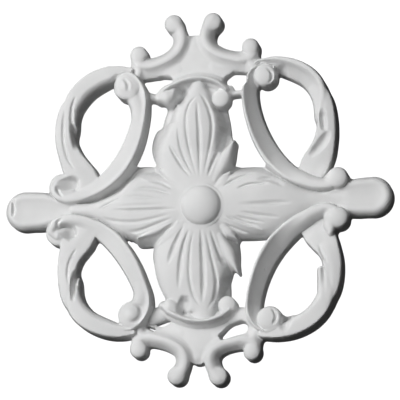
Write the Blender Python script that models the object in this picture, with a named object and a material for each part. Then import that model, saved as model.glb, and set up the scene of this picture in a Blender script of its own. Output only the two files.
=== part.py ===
"""Rosette applique: one pierced casting, flat behind, made to be fixed on a wall, a ceiling or a door.

The front is a relief with no undercuts, as it has to be to leave its mould. Each member (scroll, leaf, petal, collar,
knob, lobe) is drawn on the wall plane as a line with stations, and has a section that gives its height across. For a
point of the plane a member answers two questions: how far inside its outline the point lies, and how high it stands
there. The casting is the union of all members: its outline is where the point is inside any of them, its front is the
highest of them, melted together by small fillets. The sides drop straight to the flat back.

X runs along the lobes, Z up, the front faces -Y and the flat back lies in the plane y = 0.
The origin is the middle of the back. Drawing and sizes are in millimetres, the Blender scene is in metres.
"""

import math

import bmesh
import bpy
import numpy as np

MM = 0.001

# Driving sizes, in millimetres
WIDTH = 165.8
HEIGHT = 160.0
LIMB_WIDTH = 8.2
LIMB_HEIGHT = 11.6
VOLUTE_RADIUS = 5.5
VOLUTE_HEIGHT = 12.4
EYE_RADIUS = 3.5
EYE_HEIGHT = 13.0
BAND_WIDTH = 8.8
BAND_HEIGHT = 11.8
LEAF_WIDTH = 13.2
LEAF_HEIGHT = 11.0
CROWN_WIDTH = 6.4
CROWN_HEIGHT = 10.4
KNOB_RADIUS = 3.5
KNOB_HEIGHT = 10.3
WEB_HEIGHT = 8.0
PIT_HEIGHT = 4.6
LINK_WIDTH = 2.6
LINK_HEIGHT = 7.0
COLLAR_WIDTH = 2.4
COLLAR_HEIGHT = 12.6
COLLAR_BALL_RADIUS = 3.7
PETAL_HEIGHT = 12.8
SKIRT_HEIGHT = 3.8
FLUTE_DEPTH = 0.85
BUTTON_RADIUS = 8.3
BUTTON_HEIGHT = 16.6
LOBE_WIDTH = 16.6
LOBE_HEIGHT = 8.8
GROOVE_DEPTH = 0.9
HOLLOW_DEPTH = 4.0
FILLET = 1.1
EDGE_ROUNDING = 0.15
WALL_SLOPE = 4.5
CROWN_FALL = 1.1
PETAL_FALL = 2.1

# How far inside their outline the edges of scrolls and leaves begin to round off
EDGE_DRAFT = 0.4

# The sheet that the ornament is drawn on: half its width and half its height
DRAWN_HALF_WIDTH = 82.9
DRAWN_HALF_HEIGHT = 80.0

# Sections: pairs of a place across, from -1 on the right of the spine to 1 on its left, and a share of the
# member's height
CURL_SECTION = ((-1, 0.66), (-0.75, 0.80), (-0.4, 0.93), (0, 1.0), (0.5, 1.0), (0.85, 0.94), (1, 0.80))
LIMB_SECTION = ((-1, 0.46), (-0.7, 0.56), (0.0, 0.77), (0.42, 0.91), (0.62, 0.99), (0.82, 1.0), (1, 0.95))
LEFT_LIMB_SECTION = ((-1, 0.76), (-0.8, 0.84), (-0.2, 0.91), (0.35, 0.96), (0.65, 1.0), (0.85, 1.0), (1, 0.95))
BAND_SECTION = ((-1, 0.74), (-0.8, 0.88), (-0.55, 0.97), (-0.3, 1.0), (0.4, 1.0), (0.8, 0.99), (1, 0.96))
UPPER_RIGHT_BAND_SECTION = ((-1, 0.52), (-0.6, 0.63), (0.0, 0.80), (0.3, 0.93), (0.5, 1.0), (0.8, 1.0), (1, 0.94))
TONGUE_SECTION = ((-1, 0.80), (-0.6, 0.95), (0, 1.0), (0.6, 0.94), (1, 0.76))
LEAF_SECTION = ((-1, 0.90), (-0.8, 0.95), (-0.45, 0.98), (0, 1.0), (0.4, 0.99), (0.8, 0.98), (1, 0.94))
ROUND_SECTION = ((-1, 0.72), (-0.8, 0.88), (-0.4, 0.98), (0, 1.0), (0.4, 0.98), (0.8, 0.88), (1, 0.72))
WEB_SECTION = ((-1, 0.84), (-0.5, 0.96), (0, 1.0), (0.5, 0.96), (1, 0.84))
DISH_SECTION = ((-1, 0.74), (-0.86, 0.93), (-0.68, 1.0), (-0.4, 0.95), (0, 0.92), (0.4, 0.95), (0.68, 1.0),
                (0.86, 0.93), (1, 0.74))

# Stations of one quarter, as (x, z, share of the member's width, share of its height). Only the left limbs curl on
# through the tip; the right ones end in bulbs.
LIMB_TIP = ((60.0, 11.6, 0.46, 0.84), (62.0, 9.2, 0.56, 0.90), (60.2, 6.3, 0.64, 0.92))
LIMB = ((55.8, 5.1, 0.70, 0.93), (50.5, 5.9, 0.74, 0.93), (45.2, 8.1, 0.82, 0.93), (40.5, 11.0, 0.90, 0.94),
        (35.8, 15.2, 0.98, 0.96),
        (31.6, 20.4, 1.0, 0.98), (27.7, 27.0, 0.95, 1.0), (25.0, 34.0, 0.87, 1.0), (23.6, 41.0, 0.82, 1.0),
        (23.7, 47.0, 0.76, 1.0), (26.0, 52.2, 0.66, 1.0), (29.6, 55.0, 0.52, 0.98), (33.4, 54.6, 0.38, 0.94))
BAND = ((28.0, 57.0, 0.44, 0.90), (33.0, 57.0, 0.66, 0.95), (38.0, 56.2, 0.86, 0.99), (43.0, 54.6, 0.94, 1.0),
        (47.5, 52.0, 0.95, 1.0), (51.0, 48.2, 0.95, 0.99), (53.2, 43.6, 0.88, 0.97), (53.7, 38.4, 0.66, 0.92),
        (53.4, 33.0, 0.50, 0.82), (53.6, 28.2, 0.20, 0.62))
LEAF = ((44.5, 8.5, 0.60, 0.84), (49.4, 12.6, 0.94, 0.88), (53.0, 17.6, 0.90, 0.92), (55.3, 23.0, 0.74, 0.95),
        (56.6, 29.0, 0.64, 0.98), (56.9, 35.5, 0.54, 1.0), (56.2, 41.5, 0.42, 1.0), (54.8, 46.6, 0.20, 0.98))
CROWN = ((9.4, 76.6, 0.90, 0.96), (7.3, 73.2, 0.96, 0.98), (6.5, 69.4, 0.92, 1.0), (7.9, 65.7, 0.86, 1.0),
         (11.3, 62.8, 0.82, 0.98), (15.6, 61.0, 0.80, 0.96), (20.0, 60.2, 0.84, 0.94), (23.8, 61.2, 0.90, 0.93),
         (24.6, 63.6, 0.92, 0.92))
CROWN_FOOT = ((24.6, 62.0, 0.80, 0.90), (25.6, 57.0, 0.86, 0.86), (26.6, 53.6, 0.80, 0.80))
VOLUTES = {(-1, 1): (-29.5, 50.2, 1.02), (-1, -1): (-28.4, -48.4, 1.04),
           (1, 1): (30.1, 52.3, 0.84), (1, -1): (30.3, -52.2, 0.94)}
VOLUTE_NECK = ((24.6, 36.0, 0.70, 0.92), (24.6, 41.5, 0.84, 0.97), (26.4, 46.4, 0.90, 1.0), (28.6, 49.4, 0.80, 1.02))
INNER_KNOB = (9.2, 76.6)
OUTER_KNOB = (24.3, 64.4)
BASE_KNOB = (59.4, 10.0)

# Stations along the upright and the level axes
CROWN_WEB = ((47, 20, 0.92), (52, 24, 0.95), (56, 34, 0.92), (60, 34, 0.95), (64, 22, 1.0),
             (66.0, 12.0, 1.0), (67.4, 8.0, 1.0))
DROP_BAND = ((8.0, 57.6), (15.0, 57.4), (24.0, 56.6))
COLLAR = ((-15.0, 45.8, 0.8, 0.84), (-12.4, 48.3, 1.0, 0.95), (-8.0, 50.4, 1.0, 0.99), (-3.5, 51.9, 1.0, 1.0),
          (1.2, 52.3, 1.0, 1.0), (6.0, 51.6, 1.0, 1.0), (10.4, 49.6, 1.0, 0.97), (13.6, 47.0, 0.8, 0.86))
LOBE = ((44, 0.26, 0.92), (54, 0.32, 0.92), (60, 0.56, 0.95), (64, 0.82, 1.0), (68, 0.95, 1.0), (74.6, 1.0, 1.0))
NECK = ((50, 0.80, 0.50), (57, 0.92, 0.52), (63, 0.96, 0.55), (68, 0.96, 0.60))

# The hand's drift from the true symmetric drawing: (where, how far)
DRIFT = (((-30, 51), (-0.9, 0.4)), ((30, 51), (-0.6, 0.9)), ((-30, -51), (1.0, 2.4)), ((30, -51), (-0.4, -1.4)),
         ((-38, 13), (0.9, -1.6)), ((38, 13), (-0.7, -1.2)), ((-40, -13), (-1.2, -1.0)), ((42, -13), (0.8, -3.0)),
         ((-28, -28), (-1.4, -0.6)), ((28, -28), (1.2, -0.6)), ((-60, 8), (1.8, -2.0)), ((60, 8), (-0.4, 0.4)),
         ((-60, -8), (-0.8, -1.8)), ((60, -8), (-0.2, -2.0)), ((-24, 65), (0.0, 0.0)), ((24, 65), (-0.6, 1.8)),
         ((-24, -65), (-3.1, 1.4)), ((24, -65), (-3.2, -2.0)), ((-8, 77), (0.4, 0.8)), ((8, 77), (-2.4, 0.6)),
         ((-8, -77), (-0.4, 2.8)), ((8, -77), (-1.6, 1.6)), ((-57, 38), (-0.7, 0.0)), ((57, -38), (0.7, 1.0)),
         ((57, 38), (-1.2, 0.4)), ((-57, -38), (0.6, 0.6)), ((45, -56), (0.6, 0.8)), ((-45, -56), (0.6, 3.6)),
         ((-46, 54), (1.2, -1.2)), ((46, 54), (0.2, -0.6)))
DRIFT_REACH = 9.0
DRIFT_REST = 0.3

# The flower, drawn where it lies: low skirts carry its outline, (x, z, half width), and fronts carry its petals,
# (x, z, half width, share of height)
FLOWER_CENTRE = (2.2, -3.0)
UPPER_SKIRT = ((-1.4, 6.0, 14.0), (-1.6, 17.0, 16.3), (-1.9, 23.0, 18.2), (-1.8, 26.6, 17.8), (-1.0, 31.0, 15.2),
               (-0.6, 36.0, 14.0), (-0.2, 41.0, 12.6), (0.2, 46.0, 11.0))
LOWER_SKIRT = ((-1.4, -6.0, 14.0), (-1.1, -17.0, 17.4), (-1.4, -24.0, 18.3), (-1.6, -30.0, 16.2), (-1.1, -36.0, 14.2),
               (-0.2, -41.0, 13.0), (0.2, -47.0, 11.4))
LEFT_SKIRT = ((-4.0, -1.5, 14.0), (-17.0, -0.9, 17.0), (-27.0, -0.9, 17.2), (-33.0, -1.8, 12.8), (-41.0, -2.4, 8.0),
              (-54.0, -1.8, 4.0))
RIGHT_SKIRT = ((6.0, -1.5, 13.5), (15.0, -1.2, 15.4), (29.0, -1.4, 15.4), (35.0, -2.0, 12.6), (43.0, -2.6, 8.4),
               (55.0, -2.4, 4.4))
UPPER_FRONT = ((1.0, 2.0, 10.0, 1.0), (-0.6, 12.0, 13.0, 1.0), (-2.7, 19.4, 13.2, 0.98), (-1.7, 26.7, 11.6, 0.96),
               (-0.2, 32.7, 10.4, 0.93), (0.0, 38.8, 8.6, 0.89), (1.0, 44.8, 6.0, 0.86), (1.2, 48.6, 3.6, 0.86))
LOWER_FRONT = ((1.0, -6.0, 10.0, 1.0), (-1.2, -17.0, 14.4, 1.0), (-3.5, -24.0, 14.8, 0.98), (-3.0, -31.0, 14.8, 0.95),
               (-1.8, -37.0, 13.2, 0.91), (0.2, -42.0, 10.2, 0.88), (2.0, -46.4, 6.0, 0.86), (2.2, -49.6, 4.6, 0.84))
LEFT_FRONT = ((-2.0, -3.0, 9.0, 1.0), (-12.0, -2.6, 12.4, 1.0), (-20.0, -2.4, 13.8, 0.99), (-26.0, -3.0, 12.8, 0.96),
              (-32.0, -3.4, 9.6, 0.92), (-38.0, -2.9, 6.2, 0.86), (-45.0, -2.3, 3.2, 0.78), (-54.0, -1.6, 1.6, 0.68))
RIGHT_FRONT = ((6.0, -3.0, 9.0, 1.0), (14.0, -2.4, 12.4, 1.0), (22.0, -2.2, 13.4, 0.99), (31.0, -3.0, 12.0, 0.96),
               (40.0, -2.8, 8.4, 0.90), (48.0, -2.2, 4.4, 0.79), (57.0, -2.2, 3.2, 0.66), (66.0, -1.6, 2.4, 0.57))
SKIRT_SECTION = ((-1, 0.50), (-0.85, 0.86), (-0.6, 1.0), (0.6, 1.0), (0.85, 0.86), (1, 0.50))
PETAL_SECTION = ((-1, 0.70), (-0.88, 0.84), (-0.65, 0.94), (-0.3, 0.99), (0, 1.0), (0.3, 0.99), (0.65, 0.94),
                 (0.88, 0.84), (1, 0.70))
CROWN_SECTION = ((-1, 0.90), (-0.8, 0.97), (-0.5, 1.0), (-0.1, 0.99), (0.4, 0.89), (1, 0.66))
# Pointed ridges between the petals: start, end, half width, height share
RIDGES = (((8.0, 8.0), (16.2, 24.8), 3.2, 0.93), ((9.8, -16.0), (16.9, -31.6), 3.0, 0.92),
          ((-4.6, 5.2), (-16.0, 14.2), 3.0, 0.92), ((-6.0, -9.6), (-17.0, -19.2), 3.2, 0.94),
          ((8.6, 4.2), (14.6, 11.6), 2.6, 0.92), ((10.9, -12.2), (16.6, -17.4), 2.6, 0.90),
          ((-7.8, -9.7), (-25.6, -15.6), 1.9, 0.96), ((12.3, -8.8), (28.0, -14.4), 1.8, 0.95),
          ((-11.1, 4.2), (-24.1, 10.2), 2.2, 0.93))
CURL_SHARE = 0.22
TONGUE_TURNS = (0.55, 0.85)
DROP_SHARE = 0.9
RIDGE_TIP_SHARE = 0.86
BUTTON_SEAT = 1.2
BUTTON_SHOULDER = 0.76

# How finely the curves are followed, and how far around a member its points are looked for
ROWS_BETWEEN_STATIONS = 5
ROWS_BETWEEN_SECTION_POINTS = 6
SEARCH_REACH = 4.0
FAR_OUTSIDE = -1000.0
LEAST_HALF_WIDTH = 0.2
RUN_OUT_SHARE = 0.25
CUTTER_ROUNDNESS = 1.5
RIDGE_ROOT_WIDTH = 0.6
RIDGE_TIP_WIDTH = 0.15

# Shares and small sizes of the scrolls and collars
PIT_RADIUS = 5.4
PIT_RIM_HEIGHT = 9.4
RIGHT_FILL = {1: (52.4, 6.6), -1: (52.6, -10.6)}
RIGHT_FILL_RADIUS = 4.3
RIGHT_FILL_HEIGHT = 5.8
SHALLOW_DOME = 0.95
VOLUTE_SHOULDER = 0.86
EYE_SHOULDER = 0.72
KNOB_SHOULDER = 0.84
COLLAR_BALL_SHARE = 0.80
BULB_RADIUS = 4.3
BULB_HEIGHT = 12.0
SHELF_SHARE = 0.62
BULB_SHOULDER = 0.86
BULBS = {1: (60.0, 6.9), -1: (59.8, -10.2)}
BULB_LIMB_ROW = (0.98, 0.96)
LEAF_RISE_RIGHT = (0.60, 0.74, 0.90)
INNER_KNOB_SHARE = 1.1
DROP_HALF_WIDTH = 2.8
BACKING_HALF_WIDTH = 2.6
BACKING_SHARE = 0.74
COLLAR_BALL = {1: (10.7, 43.6), -1: (12.1, -45.4)}
COLLAR_LEAF = ((-15.6, 44.6, 1.6, 0.80), (-12.6, 45.2, 3.6, 0.93), (-9.4, 46.6, 2.8, 0.88))
LOBE_LEVEL = -1.2
LINKS = ((((-16.0, 45.2), (-21.0, 46.6)), 1.3), (((13.0, 46.0), (21.5, 46.6)), 1.0),
         (((-15.0, -47.0), (-21.0, -49.0)), 2.6), (((11.5, -50.0), (21.5, -50.4)), 3.2))

# Small holes through the webs beside the crowns, and grooves in the scrolls, drawn where they lie
SIDE_HOLES = (((-18.4, 51.4, 1.6), (-15.4, 52.8, 2.0), (-12.0, 53.2, 1.4)),
              ((14.4, 52.0, 2.2), (17.2, 52.4, 3.0), (18.8, 51.6, 2.4)),
              ((-22.4, -53.0, 0.4), (-19.8, -54.2, 0.6)),
              ((9.8, -58.2, 1.2), (13.8, -55.9, 2.4), (17.6, -54.8, 2.6)))

# Carvings, drawn where they lie: (line of (x, z, half width), depth as a share of its kind's depth)
FLUTES = (
    (((-11.3, 24.2, 0.8), (-9.2, 20.2, 1.1), (-6.3, 15.3, 1.2), (-2.5, 9.6, 0.7)), 1.2),
    (((-7.6, 31.9, 0.7), (-6.6, 24.0, 1.0), (-4.6, 17.4, 0.9), (-1.2, 10.4, 0.5)), 0.9),
    (((0.5, 44.5, 0.6), (-2.7, 40.7, 0.8), (-4.1, 33.9, 0.9), (-2.8, 23.0, 0.9), (0.5, 9.4, 0.5)), 0.8),
    (((0.9, 42.3, 0.7), (1.3, 34.9, 1.0), (1.8, 25.4, 1.2), (1.8, 8.9, 0.6)), 1.1),
    (((1.8, 46.2, 0.7), (4.8, 41.2, 0.9), (7.0, 33.3, 1.0), (6.3, 23.4, 0.9), (3.5, 9.7, 0.5)), 0.9),
    (((10.3, 25.4, 1.2), (9.2, 19.8, 1.1), (7.0, 14.3, 0.9), (5.2, 9.2, 0.6)), 1.2),
    (((-5.4, -11.4, 0.7), (-8.0, -16.9, 1.4), (-10.2, -21.9, 1.6), (-12.4, -27.4, 0.9)), 1.3),
    (((-3.2, -13.2, 0.6), (-5.5, -20.0, 1.2), (-7.1, -28.5, 1.5), (-8.1, -38.3, 0.8)), 1.3),
    (((-1.1, -13.7, 0.5), (-2.7, -21.8, 0.8), (-3.3, -32.5, 1.0), (-1.9, -40.6, 1.0), (1.0, -46.3, 0.6)), 0.7),
    (((1.9, -13.0, 0.6), (2.4, -22.0, 1.3), (2.6, -34.9, 1.5), (1.9, -44.6, 0.8)), 1.2),
    (((4.0, -14.0, 0.5), (6.0, -24.3, 0.9), (7.8, -34.2, 1.1), (7.0, -41.9, 1.1), (4.0, -47.3, 0.6)), 1.0),
    (((6.1, -13.6, 0.6), (8.2, -20.6, 0.9), (9.8, -25.3, 1.1), (11.5, -29.2, 1.1)), 1.2),
    (((-21.0, 8.7, 0.8), (-17.1, 8.1, 1.1), (-13.3, 6.6, 1.0), (-9.9, 4.3, 0.6)), 0.8),
    (((-27.5, 5.1, 0.8), (-21.4, 5.5, 1.1), (-15.4, 4.1, 0.9), (-10.3, 2.2, 0.5)), 0.9),
    (((-32.2, 2.7, 0.6), (-24.1, 1.9, 1.1), (-12.9, 0.1, 0.6)), 0.5),
    (((-42.2, -2.5, 0.6), (-38.3, -0.5, 0.8), (-34.8, 1.1, 0.8), (-31.8, 1.8, 0.6)), 0.9),
    (((-36.1, -1.4, 0.7), (-26.3, -1.7, 1.0), (-13.4, -1.8, 0.6)), 0.4),
    (((-36.6, -3.1, 0.8), (-26.3, -4.0, 1.3), (-17.7, -4.2, 1.3), (-8.3, -4.0, 0.6)), 1.1),
    (((-40.9, -6.0, 0.7), (-35.8, -7.7, 1.0), (-28.5, -8.7, 1.0), (-20.7, -8.2, 1.0), (-10.4, -6.0, 0.5)), 0.9),
    (((-29.8, -12.5, 0.8), (-24.7, -12.5, 1.0), (-17.8, -10.4, 1.0), (-10.0, -7.8, 0.5)), 0.9),
    (((-21.3, -16.7, 1.4), (-16.5, -15.0, 1.6), (-12.6, -12.4, 1.4), (-7.9, -9.1, 0.7)), 1.3),
    (((11.5, 4.6, 0.6), (15.9, 7.4, 1.0), (21.0, 9.4, 1.0), (26.6, 10.4, 0.7)), 1.4),
    (((17.5, 3.5, 0.6), (21.8, 5.0, 0.9), (26.5, 5.4, 0.9), (31.6, 5.4, 0.6)), 1.3),
    (((25.7, 7.2, 0.9), (30.4, 7.6, 1.6), (34.2, 6.2, 1.6), (37.5, 4.3, 1.0)), 1.4),
    (((17.8, -3.0, 0.7), (26.3, -3.4, 1.4), (33.6, -3.2, 1.4), (40.8, -3.1, 0.7)), 0.9),
    (((18.6, -6.4, 0.6), (25.8, -8.0, 1.0), (35.6, -9.3, 0.6)), 0.9),
    (((16.5, -8.1, 0.6), (22.0, -9.8, 0.9), (29.2, -11.2, 0.6)), 1.1),
    (((12.6, -7.9, 0.6), (17.3, -9.8, 0.9), (21.9, -11.5, 1.0), (27.0, -12.8, 0.7)), 1.3),
    (((11.7, -10.9, 0.5), (16.4, -13.2, 0.8), (23.2, -15.6, 0.6)), 1.2))
HOLLOWS = (
    (((-6.9, 50.0, 2.2), (-6.1, 45.6, 3.4), (-6.9, 40.6, 2.2)), 0.7),
    (((-5.2, -41.0, 2.0), (-6.2, -45.3, 3.2), (-8.0, -49.4, 2.2)), 0.7),
    (((36.4, 57.0, 1.8), (37.4, 53.6, 2.8), (36.4, 49.6, 2.0)), 0.4),
    (((36.4, -49.0, 1.8), (37.2, -53.4, 2.8), (36.0, -58.0, 2.0)), 0.5),
    (((-53.6, 35.6, 1.0), (-52.3, 30.2, 2.2), (-51.3, 23.6, 1.8)), 0.8),
    (((-53.4, -42.0, 1.0), (-53.4, -36.0, 1.4), (-52.4, -30.4, 1.8), (-50.0, -27.6, 1.6)), 0.8),
    (((-59.9, 8.8, 2.0), (-56.6, 9.2, 3.0), (-53.5, 9.5, 3.4), (-50.5, 9.4, 2.4)), 1.5),
    (((-60.0, -9.9, 2.0), (-56.7, -10.7, 3.2), (-54.6, -12.1, 3.6), (-53.3, -14.8, 2.4)), 1.5),
    (((54.4, 36.8, 1.2), (54.6, 31.1, 1.8), (55.2, 26.8, 1.2)), 0.5),
    (((56.9, 27.4, 1.4), (53.8, 21.9, 2.6), (48.2, 17.0, 1.4)), 0.4))
GROOVES = (
    (((-51.4, 47.2, 0.6), (-52.9, 42.9, 0.9), (-53.6, 37.7, 1.1), (-53.3, 31.5, 1.3)), 1.1),
    (((-56.4, 41.3, 0.6), (-57.1, 34.3, 0.8), (-57.0, 27.4, 0.9), (-55.5, 20.8, 0.9), (-52.5, 15.0, 0.7)), 1.0),
    (((-30.8, 53.8, 0.8), (-28.6, 51.1, 1.2), (-28.7, 47.6, 1.2)), 0.9),
    (((-31.2, 55.8, 0.8), (-34.4, 54.4, 1.1), (-35.1, 50.5, 1.1), (-33.4, 47.0, 0.8)), 0.9),
    (((-60.4, 8.8, 0.7), (-59.6, 5.9, 1.0), (-57.4, 3.5, 0.7)), 1.2),
    (((-51.9, -18.8, 0.6), (-54.5, -23.4, 0.9), (-55.6, -28.5, 0.9), (-55.5, -34.1, 0.6)), 1.0),
    (((-27.9, -43.5, 0.8), (-24.9, -45.3, 1.3), (-24.1, -48.4, 1.5), (-25.8, -50.8, 1.3), (-28.8, -51.6, 0.8)), 1.3),
    (((-57.6, -5.4, 0.7), (-60.0, -7.5, 1.0), (-59.8, -10.6, 0.7)), 1.2),
    (((30.8, 55.1, 0.6), (32.9, 53.2, 0.9), (33.1, 50.6, 0.9), (31.6, 48.5, 0.5)), 1.3),
    (((31.2, -48.0, 0.6), (32.8, -50.2, 0.9), (33.0, -52.7, 1.0), (31.5, -55.2, 0.6)), 1.3),
    (((51.4, -21.0, 0.8), (53.0, -25.4, 1.2), (55.0, -30.1, 0.8)), 0.8),
    (((-79.7, 4.2, 0.8), (-79.2, 0.3, 1.1), (-79.7, -4.1, 0.8)), 1.3))
# The lower right scroll's own forms, (x, z, half width): the blunt end of its tongue, the claw below its curl and
# the low shelf inside its band
BLUNT_TONGUE = ((52.0, -32.1, 1.6), (52.1, -38.5, 1.8), (52.6, -44.9, 2.0))
CLAW = ((57.0, -9.6, 3.4), (56.6, -13.4, 3.0), (56.6, -16.6, 1.6))
LOWER_SHELF = ((34.0, -53.6, 2.8), (39.0, -53.4, 3.0), (44.6, -51.6, 2.0))
# The tips of the left scrolls' curls, which run down into their hollows, (x, z, half width, share of height)
CURL_TIPS = (
    ((-60.1, 9.4, 2.4, 0.9), (-57.5, 9.5, 3.4, 0.76), (-54.4, 9.3, 3.8, 0.56), (-51.1, 9.1, 3.0, 0.36)),
    ((-59.8, -12.6, 2.4, 0.9), (-57.6, -12.4, 3.4, 0.78), (-55.0, -12.6, 3.8, 0.56), (-52.6, -13.8, 3.0, 0.36)))

# How the mesh is made
GRID = 0.62
SHEET_MARGIN = 5.0
SNAP_SHARE = 0.32
FACE_BUDGET = 8700
BACK_STOCK = 1.2
BACK_CUT = 6.0
LEAST_HEIGHT = 1.0
LEAST_STEEPNESS = 0.25
CUTTER_SPREAD = 1.5
SHARP_ANGLE = 50


def place(x, z):
    """Carries a drawn point to the casting's own size."""
    return x * WIDTH / (2 * DRAWN_HALF_WIDTH), z * HEIGHT / (2 * DRAWN_HALF_HEIGHT)


def drifted(x, z):
    """Moves a drawn point by the hand's drift near it."""
    weights = [math.exp(-((x - ax) ** 2 + (z - az) ** 2) / (2 * DRIFT_REACH**2)) for (ax, az), _ in DRIFT]
    total = sum(weights) + DRIFT_REST
    return (
        x + sum(w * move[0] for w, (_, move) in zip(weights, DRIFT)) / total,
        z + sum(w * move[1] for w, (_, move) in zip(weights, DRIFT)) / total,
    )


def spot(point, sx, sz):
    """A point of the quarter drawing, in the quarter with signs sx and sz."""
    return place(*drifted(sx * point[0], sz * point[1]))


def smooth_through(values, count):
    """Rows through which a smooth curve runs, and count rows of it between each two of them."""
    rows = np.asarray(values, float)
    padded = np.vstack([2 * rows[0] - rows[1], rows, 2 * rows[-1] - rows[-2]])
    found = [rows[0]]
    for before, start, end, after in zip(padded, padded[1:], padded[2:], padded[3:]):
        for step in range(1, count + 1):
            t = step / count
            found.append(
                0.5 * (2 * start + (end - before) * t + (2 * before - 5 * start + 4 * end - after) * t**2
                       + (3 * start - before - 3 * end + after) * t**3)
            )
    return np.array(found)


def share_across(section, across):
    """The section's share of height at a place across, on a smooth curve through its points."""
    fine = smooth_through(section, ROWS_BETWEEN_SECTION_POINTS)
    return np.interp(np.clip(across, -1, 1), fine[:, 0], fine[:, 1])


class Relief:
    """The outline and the front of the casting, sampled at a set of points of the wall plane."""

    def __init__(self, points):
        self.points = points
        self.inside = np.full(len(points), FAR_OUTSIDE)
        self.height = np.zeros(len(points))

    def near(self, low, high):
        """The points in a box and a little around it."""
        x, z = self.points[:, 0], self.points[:, 1]
        return np.flatnonzero(
            (x > low[0] - SEARCH_REACH) & (x < high[0] + SEARCH_REACH)
            & (z > low[1] - SEARCH_REACH) & (z < high[1] + SEARCH_REACH)
        )

    def join(self, chosen, inside, height, fall=WALL_SLOPE, draft=0.0):
        """Adds a member: from its draft line outwards its height falls away, mostly as steeply as its walls."""
        height = height + fall * np.minimum(inside - draft, 0)
        for values, new in ((self.inside, inside), (self.height, height)):
            old = values[chosen]
            melt = np.maximum(FILLET - np.abs(old - new), 0) / FILLET
            values[chosen] = np.maximum(old, new) + melt**2 * FILLET / 4

    def follow(self, line, widest):
        """The points near a smooth line, how far they lie from it, on which side, and the line's values there."""
        chosen = self.near(line[:, :2].min(0) - widest, line[:, :2].max(0) + widest)
        return (chosen, *along_line(self.points[chosen], line))

    def carve(self, stations, depth):
        """Cuts a soft groove, of rows (x, z, half width), which runs out at both ends."""
        line = with_share(smooth_through(stations, ROWS_BETWEEN_STATIONS))
        chosen, distance, _, carried = self.follow(line, line[:, 2].max())
        half, share = np.maximum(carried[:, 0], LEAST_HALF_WIDTH), carried[:, 1]
        fade = np.clip(np.minimum(share, 1 - share) / RUN_OUT_SHARE, 0, 1)
        self.height[chosen] -= depth * fade * np.clip(1 - (distance / half) ** 2, 0, 1) ** CUTTER_ROUNDNESS

    def pierce(self, stations):
        """Opens a hole through the casting along rows (x, z, half width)."""
        line = smooth_through(stations, ROWS_BETWEEN_STATIONS)
        chosen, distance, _, carried = self.follow(line, line[:, 2].max())
        edge = carried[:, 0] - distance
        self.inside[chosen] = np.minimum(self.inside[chosen], -edge)
        self.height[chosen] = np.minimum(self.height[chosen], PIT_HEIGHT - WALL_SLOPE * edge)


def with_share(line):
    """Adds a column to a line: how far along it each row lies, from 0 to 1."""
    return np.column_stack([line, np.linspace(0, 1, len(line))])


def along_line(points, line):
    """For each point: distance to the line, its side (1 on the left), and the line's other columns there."""
    best = np.full(len(points), 1e9)
    side = np.ones(len(points))
    carried = np.zeros((len(points), line.shape[1] - 2))
    for start, end in zip(line, line[1:]):
        run = end[:2] - start[:2]
        offset = points - start[:2]
        share = np.clip(offset @ run / max(run @ run, 1e-9), 0, 1)
        away = offset - share[:, None] * run
        distance = np.hypot(away[:, 0], away[:, 1])
        closer = distance < best
        best[closer] = distance[closer]
        side[closer] = np.where(run[0] * offset[:, 1] - run[1] * offset[:, 0] >= 0, 1.0, -1.0)[closer]
        carried[closer] = (start[2:] + share[:, None] * (end[2:] - start[2:]))[closer]
    return best, side, carried


def add_member(relief, stations, section, end_section=None, mirror=1, turns_at=(0.0, 1.0), fall=WALL_SLOPE,
               draft=0.0):
    """A member with rows (x, z, half width, height); its section turns into the end section between two shares."""
    line = with_share(smooth_through(stations, ROWS_BETWEEN_STATIONS))
    chosen, distance, side, carried = relief.follow(line, line[:, 2].max())
    if not len(chosen):
        return
    half, height, share = np.maximum(carried[:, 0], LEAST_HALF_WIDTH), carried[:, 1], carried[:, 2]
    across = side * mirror * distance / half
    profile = share_across(section, across)
    if end_section:
        turned = np.clip((share - turns_at[0]) / (turns_at[1] - turns_at[0]), 0, 1)
        profile = profile * (1 - turned) + share_across(end_section, across) * turned
    relief.join(chosen, half - distance, height * profile, fall, draft)


def add_dome(relief, centre, radius, height, shoulder):
    """A round knob: a dome whose edge stands at a share of its height."""
    centre = np.array(centre)
    chosen = relief.near(centre - radius, centre + radius)
    distance = np.hypot(*(relief.points[chosen] - centre).T)
    rise = np.sqrt(np.clip(1 - (distance / radius) ** 2, 0, 1))
    relief.join(chosen, radius - distance, height * (shoulder + (1 - shoulder) * rise))


def quarter(stations, sx, sz, width, height):
    """One quarter's stations, mirrored, drifted and brought to size."""
    return [(*spot((x, z), sx, sz), 0.5 * width * w, height * h) for x, z, w, h in stations]


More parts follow.
